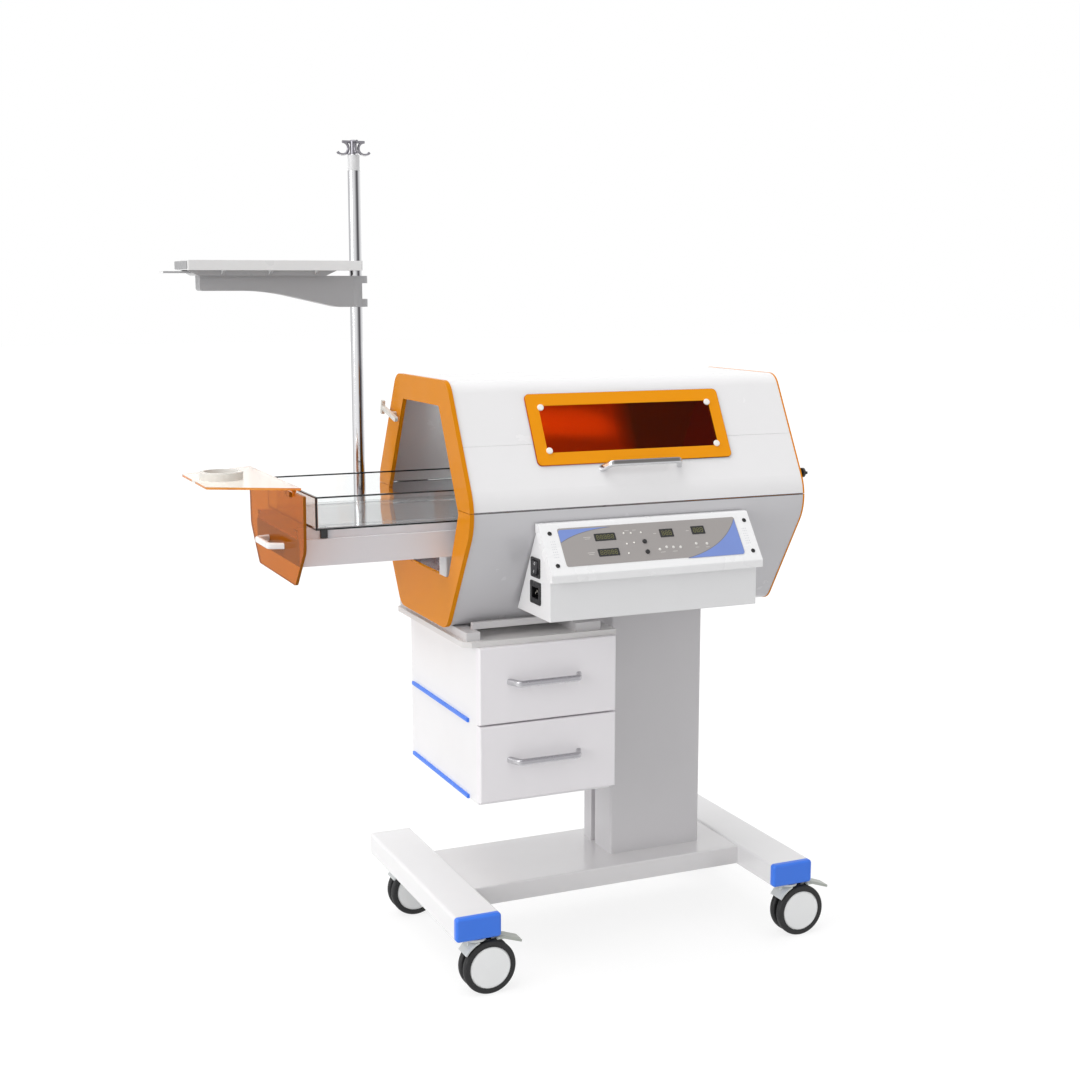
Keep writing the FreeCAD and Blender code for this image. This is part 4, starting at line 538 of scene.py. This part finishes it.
class INCUBATOR_OT_bed(bpy.types.Operator):
    """Finishes the bed drawer, its door and flap, and the lamps under it"""
    bl_idname = "incubator.bed"
    bl_label = "Bed drawer"

    def execute(self, context):
        dress(powder_coat("powder_coated_steel_rails", linear("#dcdcde")), "tray_rails")
        dress(powder_coat("powder_coated_steel_carriage", linear("#dfdde1")), "bed_carriage")
        tray = acrylic("cast_acrylic_clear", linear("#fbfdfd"))
        low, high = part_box("bed_tray")
        self.paint_edge_shade(tray, Vector(low), Vector(high))
        dress(tray, "bed_tray")
        along, upright = (1.0, 0.0, 0.0), (0.0, 0.0, 1.0)
        # Painted shade: the door's edges are drawn a darker opaque brown
        door = acrylic("cast_acrylic_door", linear("#ca761c"), 0.65, 1.06, linear("#965a1a"), along)
        dress(door, "end_door")
        # Painted light and shade: the flap's outer edges are drawn an opaque orange for the colour light
        # gathers along the sheet, and the walls of its hand port an opaque grey for the shade in the port
        flap = acrylic("cast_acrylic_flap", linear("#fdf9f3"), 0.5, 1.15, linear("#dc7f2c"), upright, PORT)
        retint(flap, linear("#e2dfd9"), rim_mask(flap, upright, PORT, "LESS_THAN"), clear=True)
        dress(flap, "door_flap")
        dress(moulded("moulded_abs_door_handle", linear("#f2f2f3")), "door_handle")
        # Painted reflection: the reflector's upward faces are drawn a darker grey
        dress(bright_metal("rolled_aluminium_reflector", linear("#dfe0e2"), linear("#b0b1b4"), (0.2, 0.34),
                           (((0.0, 0.0, 1.0), 30.0, 0.7),)), "lamp_reflector")
        # The lamps are switched off: a matt phosphor coat inside the glass
        dress(surface("coated_glass_lamp", linear("#d5e0f4"), (0.08, 0.14), drift=0.03, patch=50.0, grain=0.8,
                      depth=0.004, IOR=1.52), "lamp_tubes")
        return {"FINISHED"}

    def paint_edge_shade(self, made, low, high):
        """Paints the dark look of polished clear acrylic edges as painted shade: the rim, and where two outer
        walls meet.
        """
        tree = made.node_tree
        place = add(tree, "ShaderNodeTexCoord").outputs["Object"]
        away = add(tree, "ShaderNodeVectorMath", {"operation": "SUBTRACT", 1: (low + high) / 2}, {0: place})
        size = add(tree, "ShaderNodeVectorMath", {"operation": "ABSOLUTE"}, {0: away.outputs["Vector"]})
        split = add(tree, "ShaderNodeSeparateXYZ", links={"Vector": size.outputs["Vector"]})
        wall, rim_height = 3.0, 2.6
        side = add(tree, "ShaderNodeMath", {"operation": "GREATER_THAN", 1: (high.x - low.x) / 2 - wall * MM},
                   {0: split.outputs["X"]})
        end = add(tree, "ShaderNodeMath", {"operation": "GREATER_THAN", 1: (high.y - low.y) / 2 - wall * MM},
                  {0: split.outputs["Y"]})
        upright = add(tree, "ShaderNodeMath", {"operation": "ADD"},
                      {0: side.outputs["Value"], 1: end.outputs["Value"]})
        foot = height_mask(made, low.z / MM + wall, "LESS_THAN")
        walls = add(tree, "ShaderNodeMath", {"operation": "ADD"}, {0: upright.outputs["Value"], 1: foot})
        meet = add(tree, "ShaderNodeMath", {"operation": "GREATER_THAN", 1: 1.5}, {0: walls.outputs["Value"]})
        rim = height_mask(made, high.z / MM - rim_height)
        mask = add(tree, "ShaderNodeMath", {"operation": "MAXIMUM"}, {0: meet.outputs["Value"], 1: rim})
        # Painted shade: the tray's rim and corners are drawn near black and opaque
        retint(made, linear("#202426"), mask.outputs["Value"], clear=True)


class INCUBATOR_OT_control(bpy.types.Operator):
    """Finishes the control box and adds the displays, keys, lamps, corner prints and screws of its panel"""
    bl_idname = "incubator.control"
    bl_label = "Control panel"

    def execute(self, context):
        sizes = context.scene.incubator_sizes
        colours = context.scene.incubator_colours
        dress(powder_coat("powder_coated_steel_box", linear("#eeeeef")), "control_box")
        dress(moulded("moulded_abs_bezel", linear("#f3f3f4"), (0.2, 0.32)), "control_bezel")
        # Printed polyester film: a fine matt tooth that spreads the light of the sky evenly
        dress(surface("printed_polyester_overlay", colours.overlay, (0.34, 0.42), drift=0.04, patch=80.0,
                      grain=0.7, depth=0.01, IOR=1.57), "control_overlay")
        black = moulded("moulded_polycarbonate_black", linear("#141416"), (0.2, 0.35))
        dress(black, "push_button_upper", "push_button_lower", "power_entry")
        dress(moulded("moulded_polycarbonate_rocker", linear("#2a2a2d"), (0.12, 0.2)), "rocker_switch")
        top = height_on("control_overlay", PANEL)
        self.corner_prints(top)
        self.displays(top, sizes.display_lift)
        self.keys_and_lamps(top, sizes.key_radius)
        self.screws_and_dots(height_on("control_bezel", PANEL), sizes.panel_screw, black)
        self.switch_marks()
        return {"FINISHED"}

    def corner_prints(self, top):
        """Blue prints in two corners of the overlay, each with a grey line along its curve."""
        film = 0.08
        left = swept((-175.4, 12.0), (-140.0, 33.0), (-75.0, 36.4))
        right = swept((175.4, 35.0), (142.0, -20.0), (60.0, -36.4))
        blue = ink("screen_printed_ink_blue", linear("#7b93d6"), 0.1, 50.0, grain=0.7, depth=0.006)
        corners = (left + [(-172.0, 36.4), (-175.4, 33.0)], right + [(172.0, -36.4), (175.4, -33.0)])
        piece("overlay_corner_prints", [plate(points, top, top + film) for points in corners], blue, "stand",
              PANEL)
        grey = ink("screen_printed_ink_grey", linear("#7c7c86"), 0.1, 50.0, grain=0.7, depth=0.006)
        edges = []
        for inner, way in ((left, 1.0), (right, -1.0)):
            outer = [(x + way * 0.6, y - way * 0.9) for x, y in inner]
            edges.append(plate(inner + outer[::-1], top + film, top + 0.14))
        piece("overlay_corner_lines", edges, grey, "stand", PANEL)

    def displays(self, top, lift):
        """Dark display windows with unlit bar digits."""
        glass = surface("smoked_polycarbonate_window", linear("#0d0d0a"), (0.05, 0.1), drift=0.2, patch=20.0,
                        grain=0.8, depth=0.004, IOR=1.58)
        digit = ink("unlit_display_digit", linear("#86844a"), 0.15, 5.0)
        windows, digits = [], []
        for left, right, low, high, count in ((-110.0, -69.0, 9.8, 24.4, 5), (-111.0, -70.0, -20.4, -5.8, 5),
                                              (18.0, 45.0, 8.2, 24.6, 3), (82.0, 109.0, 9.6, 26.0, 3)):
            windows.append(plate(rounded(right - left, high - low, 1.5, (left + right) / 2, (low + high) / 2),
                                 top, top + lift))
            pitch = (right - left - 6.0) / count
            for n in range(count):
                digits += self.bar_digit(left + 3.0 + pitch * (n + 0.5), (low + high) / 2, pitch * 0.62,
                                         (high - low) * 0.5, top + lift)
        piece("display_windows", windows, glass, "stand", PANEL, bevel=0.15)
        piece("display_digits", digits, digit, "stand", PANEL)

    def bar_digit(self, across, up, width, height, top):
        """The seven bars of one digit."""
        thick = width * 0.15
        bars = [(across, up + end * height / 2, width - thick, thick) for end in (-1, 0, 1)]
        bars += [(across + side * width / 2, up + end * height / 4, thick, height / 2 - thick)
                 for side in (-1, 1) for end in (-1, 1)]
        return [plate(rounded(wide, tall, min(wide, tall) * 0.4, x, y, steps=2), top, top + 0.06)
                for x, y, wide, tall in bars]

    def keys_and_lamps(self, top, radius):
        """Round membrane keys, plain bars where the labels are, and small round lamps."""
        membrane = moulded("moulded_silicone_key", linear("#dcdad6"), (0.35, 0.5))
        keys = []
        dome = [(radius, top), (radius, top + 0.35), (radius - 0.5, top + 0.8), (0.6, top + 1.0)]
        for across, height in ((0.2, 795.6), (14.6, 798.4), (27.8, 797.6), (41.9, 796.8), (74.9, 800.5),
                               (96.2, 799.2)):
            keys.append(turned(dome, across - PANEL_ACROSS, (height - PANEL_HEIGHT) / PANEL_RISE))
        piece("panel_keys", keys, membrane, "stand", PANEL)
        pale = ink("screen_printed_ink_pale", linear("#cfccc8"), 0.05, 10.0)
        bars = [plate(rounded(wide, 0.9, 0.4, across, up, steps=2), top, top + 0.06)
                for across, up, wide in ((-124.0, 18.6, 14.0), (-124.0, 15.4, 10.0), (-124.0, -11.6, 14.0),
                                         (-124.0, -14.8, 10.0), (-45.0, 26.5, 9.0), (-30.0, 26.5, 7.0),
                                         (74.0, 18.0, 6.0), (8.0, 17.0, 6.0), (14.0, -20.5, 10.0),
                                         (38.0, -20.5, 10.0), (84.0, -16.0, 7.0), (105.0, -17.0, 7.0))]
        piece("panel_label_bars", bars, pale, "stand", PANEL)
        lens = moulded("moulded_epoxy_lamp", linear("#f3f1ea"), (0.06, 0.12), **{"Coat Weight": 0.5})
        bulb = [(1.7, top), (1.7, top + 0.5), (1.3, top + 1.0), (0.5, top + 1.3)]
        lamps = [turned(bulb, across, up, sides=24)
                 for across, up in ((-52.0, 21.8), (-51.5, 0.6), (-53.0, -18.0), (-38.0, 21.0), (-37.0, 2.0),
                                    (-18.0, 21.0))]
        piece("panel_lamps", lamps, lens, "stand", PANEL)

    def screws_and_dots(self, top, radius, black):
        """Four socket screws, and columns of small moulded dots beside the overlay."""
        head = [(radius, top - 1.0), (radius, top + 0.7), (radius - 0.6, top + 1.2), (radius * 0.5, top + 1.2),
                (radius * 0.42, top + 0.2)]
        heads = [turned(head, across, up, sides=36)
                 for across, up in ((-191.5, 31.0), (-192.5, -31.5), (196.0, 31.5), (194.0, -31.0))]
        piece("bezel_screws", heads, black, "stand", PANEL)
        shade = moulded("moulded_abs_dots", linear("#d3d4d8"), (0.3, 0.4))
        dot = [(0.9, top), (0.9, top + 0.15), (0.6, top + 0.3)]
        dots = [turned(dot, side * 190.0 + step * 3.4 - 3.4, up * 5.0, sides=16)
                for side in (-1, 1) for step in range(3) for up in range(-3, 4)]
        piece("bezel_dots", dots, shade, "stand", PANEL)

    def switch_marks(self):
        """A bar and a ring on the rocker, and the three pins inside the inlet."""
        tilt = math.radians(7.0)
        out = Vector((-math.cos(tilt), 0.0, math.sin(tilt)))
        up = Vector((math.sin(tilt), 0.0, math.cos(tilt)))
        where = face_at(Vector(ROCKER_MIDDLE) + out * ROCKER_FACE, (0, -1, 0), up)
        white = ink("pad_printed_ink_white", linear("#e8e8e8"), 0.05, 10.0)
        ring = turned([(2.6, 0.0), (2.6, 0.25), (1.9, 0.25), (1.9, 0.0)], 0.0, 6.8, sides=32, closed=True)
        bar = plate(rounded(0.9, 5.0, 0.3, 0.0, -6.8, steps=2), 0.0, 0.25)
        piece("rocker_marks", [ring, bar], white, "rocker", where)
        # Painted reflection: the pins' upward faces are drawn darker
        brass = bright_metal("nickel_plated_brass_pin", linear("#d8d4c8"), linear("#8a8678"), (0.15, 0.25),
                             (((0.0, 0.0, 1.0), 8.0, 0.8),))
        inlet = face_at(INLET_FLOOR, (0, -1, 0), (0, 0, 1))
        pins = [plate(rounded(2.0, 4.0, 0.5, across, high, steps=2), 0.0, 7.0)
                for across, high in ((-7.0, -2.0), (0.0, 2.5), (7.0, -2.0))]
        piece("inlet_pins", pins, brass, "stand", inlet, bevel=0.2)


class INCUBATOR_OT_pole(bpy.types.Operator):
    """Finishes the pole, its bracket, the arm and the shelf, and adds the sleeve under the hooks"""
    bl_idname = "incubator.pole"
    bl_label = "Pole and shelf"

    def execute(self, context):
        dress(powder_coat("die_cast_aluminium_bracket", linear("#b5b5b7")), "pole_bracket")
        # Directions round the pole in which its painted dark reflections lie
        view_side = math.radians(-81.0)
        far_side = math.radians(-172.0)
        pole = bright_metal("polished_stainless_tube", linear("#e2e2e4"), linear("#4c4a4e"), (0.07, 0.14),
                            (((math.cos(view_side), math.sin(view_side), 0.0), 18.0, 1.0),
                             ((math.cos(far_side), math.sin(far_side), 0.0), 30.0, 0.45)))
        retint(pole, linear("#86848a"), height_mask(pole, POLE_SHOULDER))
        dress(pole, "drip_pole")
        sleeve = turned([(11.25, 0.0), (11.25, 28.0), (10.9, 29.0), (10.6, 29.0), (10.6, 0.0)], closed=True)
        nylon = moulded("moulded_nylon_sleeve", linear("#dededf"), (0.25, 0.35))
        foot = face_at(SLEEVE_FOOT, (1, 0, 0), (0, 1, 0))
        piece("pole_sleeve", [sleeve], nylon, "stand", foot)
        dress(powder_coat("die_cast_aluminium_arm", linear("#acacae")), "shelf_arm")
        board = moulded("moulded_abs_shelf", linear("#eeeeee"), (0.25, 0.35))
        # Painted shade: the board's faces below its underside height, apart from its ends, are drawn grey
        retint(board, linear("#a9a9ab"), under_mask(board, BOARD_UNDERSIDE))
        dress(board, "shelf_board")
        low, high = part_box("shelf_board")
        middle = (low[1] + high[1]) / 2 / MM
        cap = plate(rounded(112.0, 15.0, 2.0), 0.0, 0.6)
        grey = moulded("moulded_abs_end_cap", linear("#8f8f91"), (0.25, 0.35))
        piece("shelf_end_cap", [cap], grey, "shelf",
              face_at((-711.0, middle, 1291.0), (0, -1, 0), (0, 0, 1)), bevel=0.2)
        return {"FINISHED"}


class INCUBATOR_OT_studio(bpy.types.Operator):
    """Sets up the floor, the lights, the white background and the camera"""
    bl_idname = "incubator.studio"
    bl_label = "Studio"

    def execute(self, context):
        scene = context.scene
        studio = scene.incubator_studio
        self.lay_floor(scene, studio)
        self.light_world(scene, studio)
        for name, towards, wide, power in (("left_soft_light", (-0.92, -0.25, 0.30), 40.0, studio.left_light),
                                           ("top_soft_light", (-0.25, 0.10, 0.96), 50.0, studio.top_light)):
            lamp = bpy.data.lights.new(name, "SUN")
            lamp.angle = math.radians(wide)
            lamp.energy = power
            self.hang(scene, lamp, Vector(towards) * 4.0, Vector(towards))
        self.light_cabin(scene, studio.cabin_light)
        self.set_camera(scene)
        scene.view_settings.view_transform = "Standard"
        return {"FINISHED"}

    def hang(self, scene, lamp, spot, back):
        """Places a lamp with its back in one direction, so that it shines the other way."""
        stand = bpy.data.objects.new(lamp.name, lamp)
        stand.location = spot
        stand.rotation_euler = back.to_track_quat("Z", "Y").to_euler()
        scene.collection.objects.link(stand)

    def light_cabin(self, scene, power):
        """A weak beam from inside the open end onto the wall behind the amber window, and a cool fill."""
        for name, spot, target, size, spread, share, tint in (
                ("cabin_beam", (-0.300, -0.030, 1.000), (0.045, 0.190, 0.978), (0.085, 0.04), 6.0, 1.0,
                 (1.0, 1.0, 1.0)),
                ("cabin_fill", (-0.300, 0.0, 0.975), (0.300, 0.05, 0.960), (0.11, 0.11), 150.0, 10.0,
                 (0.82, 0.98, 1.0))):
            lamp = bpy.data.lights.new(name, "AREA")
            lamp.shape = "RECTANGLE"
            lamp.size, lamp.size_y = size
            lamp.spread = math.radians(spread)
            lamp.energy = power * share
            lamp.color = tint
            self.hang(scene, lamp, spot, Vector(spot) - Vector(target))

    def lay_floor(self, scene, studio):
        """A pale painted floor that the camera sees as white, with the object's shadow left on it."""
        mesh = bpy.data.meshes.new("studio_floor")
        form = bmesh.new()
        bmesh.ops.create_grid(form, x_segments=4, y_segments=4, size=30.0)
        form.to_mesh(mesh)
        form.free()
        floor = bpy.data.objects.new("studio_floor", mesh)
        scene.collection.objects.link(floor)
        made = bpy.data.materials.new("painted_studio_floor")
        made.use_nodes = True
        tree = made.node_tree
        tree.nodes.clear()
        seen = self.seen_plainly(tree)
        paint = add(tree, "ShaderNodeBsdfDiffuse", {"Color": (0.62, 0.62, 0.62, 1)})
        glow = add(tree, "ShaderNodeEmission", {"Color": (1, 1, 1, 1), "Strength": 1.33})
        part = add(tree, "ShaderNodeMath", {"operation": "MULTIPLY", 1: studio.floor_glow}, {0: seen})
        both = add(tree, "ShaderNodeMixShader", links={0: part.outputs["Value"], 1: paint.outputs["BSDF"],
                                                       2: glow.outputs["Emission"]})
        add(tree, "ShaderNodeOutputMaterial", links={"Surface": both.outputs["Shader"]})
        mesh.materials.append(made)

    def seen_plainly(self, tree):
        """1 for the camera and for what metal and clear plastic show of the background."""
        path = add(tree, "ShaderNodeLightPath")
        either = add(tree, "ShaderNodeMath", {"operation": "MAXIMUM"},
                     {0: path.outputs["Is Camera Ray"], 1: path.outputs["Is Transmission Ray"]})
        return add(tree, "ShaderNodeMath", {"operation": "MAXIMUM"},
                   {0: either.outputs["Value"], 1: path.outputs["Is Glossy Ray"]}).outputs["Value"]

    def light_world(self, scene, studio):
        """White to the camera, and softer as a light."""
        world = bpy.data.worlds.new("white_studio")
        scene.world = world
        world.use_nodes = True
        tree = world.node_tree
        tree.nodes.clear()
        level = add(tree, "ShaderNodeMapRange", {"To Min": studio.world_light, "To Max": 1.0},
                    {"Value": self.seen_plainly(tree)})
        glow = add(tree, "ShaderNodeBackground", {"Color": (1, 1, 1, 1)},
                   {"Strength": level.outputs["Result"]})
        add(tree, "ShaderNodeOutputWorld", links={"Surface": glow.outputs["Background"]})

    def set_camera(self, scene):
        """The photo's camera, solved from its long parallel edges."""
        lens = bpy.data.cameras.new("photo_camera")
        lens.sensor_width = 36.0
        lens.lens = 53.23
        lens.clip_end = 100.0
        camera = bpy.data.objects.new("photo_camera", lens)
        camera.location = (-1.3115, -2.746, 1.2615)
        camera.rotation_euler = (math.radians(80.8), 0.0, math.radians(-23.8))
        scene.collection.objects.link(camera)
        scene.camera = camera


STEPS = (INCUBATOR_OT_base, INCUBATOR_OT_casters, INCUBATOR_OT_cabinet, INCUBATOR_OT_cabin, INCUBATOR_OT_bed,
         INCUBATOR_OT_control, INCUBATOR_OT_pole, INCUBATOR_OT_studio)


class INCUBATOR_PT_panel(bpy.types.Panel):
    """Lists the incubator's pieces, colours and sizes"""
    bl_idname = "INCUBATOR_PT_panel"
    bl_label = "Incubator"
    bl_space_type = "VIEW_3D"
    bl_region_type = "UI"
    bl_category = "Incubator"

    def draw(self, context):
        for step in STEPS:
            self.layout.operator(step.bl_idname)
        scene = context.scene
        for group in (scene.incubator_colours, scene.incubator_sizes, scene.incubator_studio):
            for name in group.__annotations__:
                self.layout.prop(group, name)


CLASSES = (IncubatorColours, IncubatorSizes, IncubatorStudio, *STEPS, INCUBATOR_PT_panel)


def register():
    for kind in CLASSES:
        bpy.utils.register_class(kind)
    bpy.types.Scene.incubator_colours = PointerProperty(type=IncubatorColours)
    bpy.types.Scene.incubator_sizes = PointerProperty(type=IncubatorSizes)
    bpy.types.Scene.incubator_studio = PointerProperty(type=IncubatorStudio)


def unregister():
    for name in ("incubator_colours", "incubator_sizes", "incubator_studio"):
        delattr(bpy.types.Scene, name)
    for kind in reversed(CLASSES):
        bpy.utils.unregister_class(kind)


def main():
    register()
    bpy.ops.incubator.base()
    bpy.ops.incubator.casters()
    bpy.ops.incubator.cabinet()
    bpy.ops.incubator.cabin()
    bpy.ops.incubator.bed()
    bpy.ops.incubator.control()
    bpy.ops.incubator.pole()
    bpy.ops.incubator.studio()


if __name__ == "__main__":
    main()
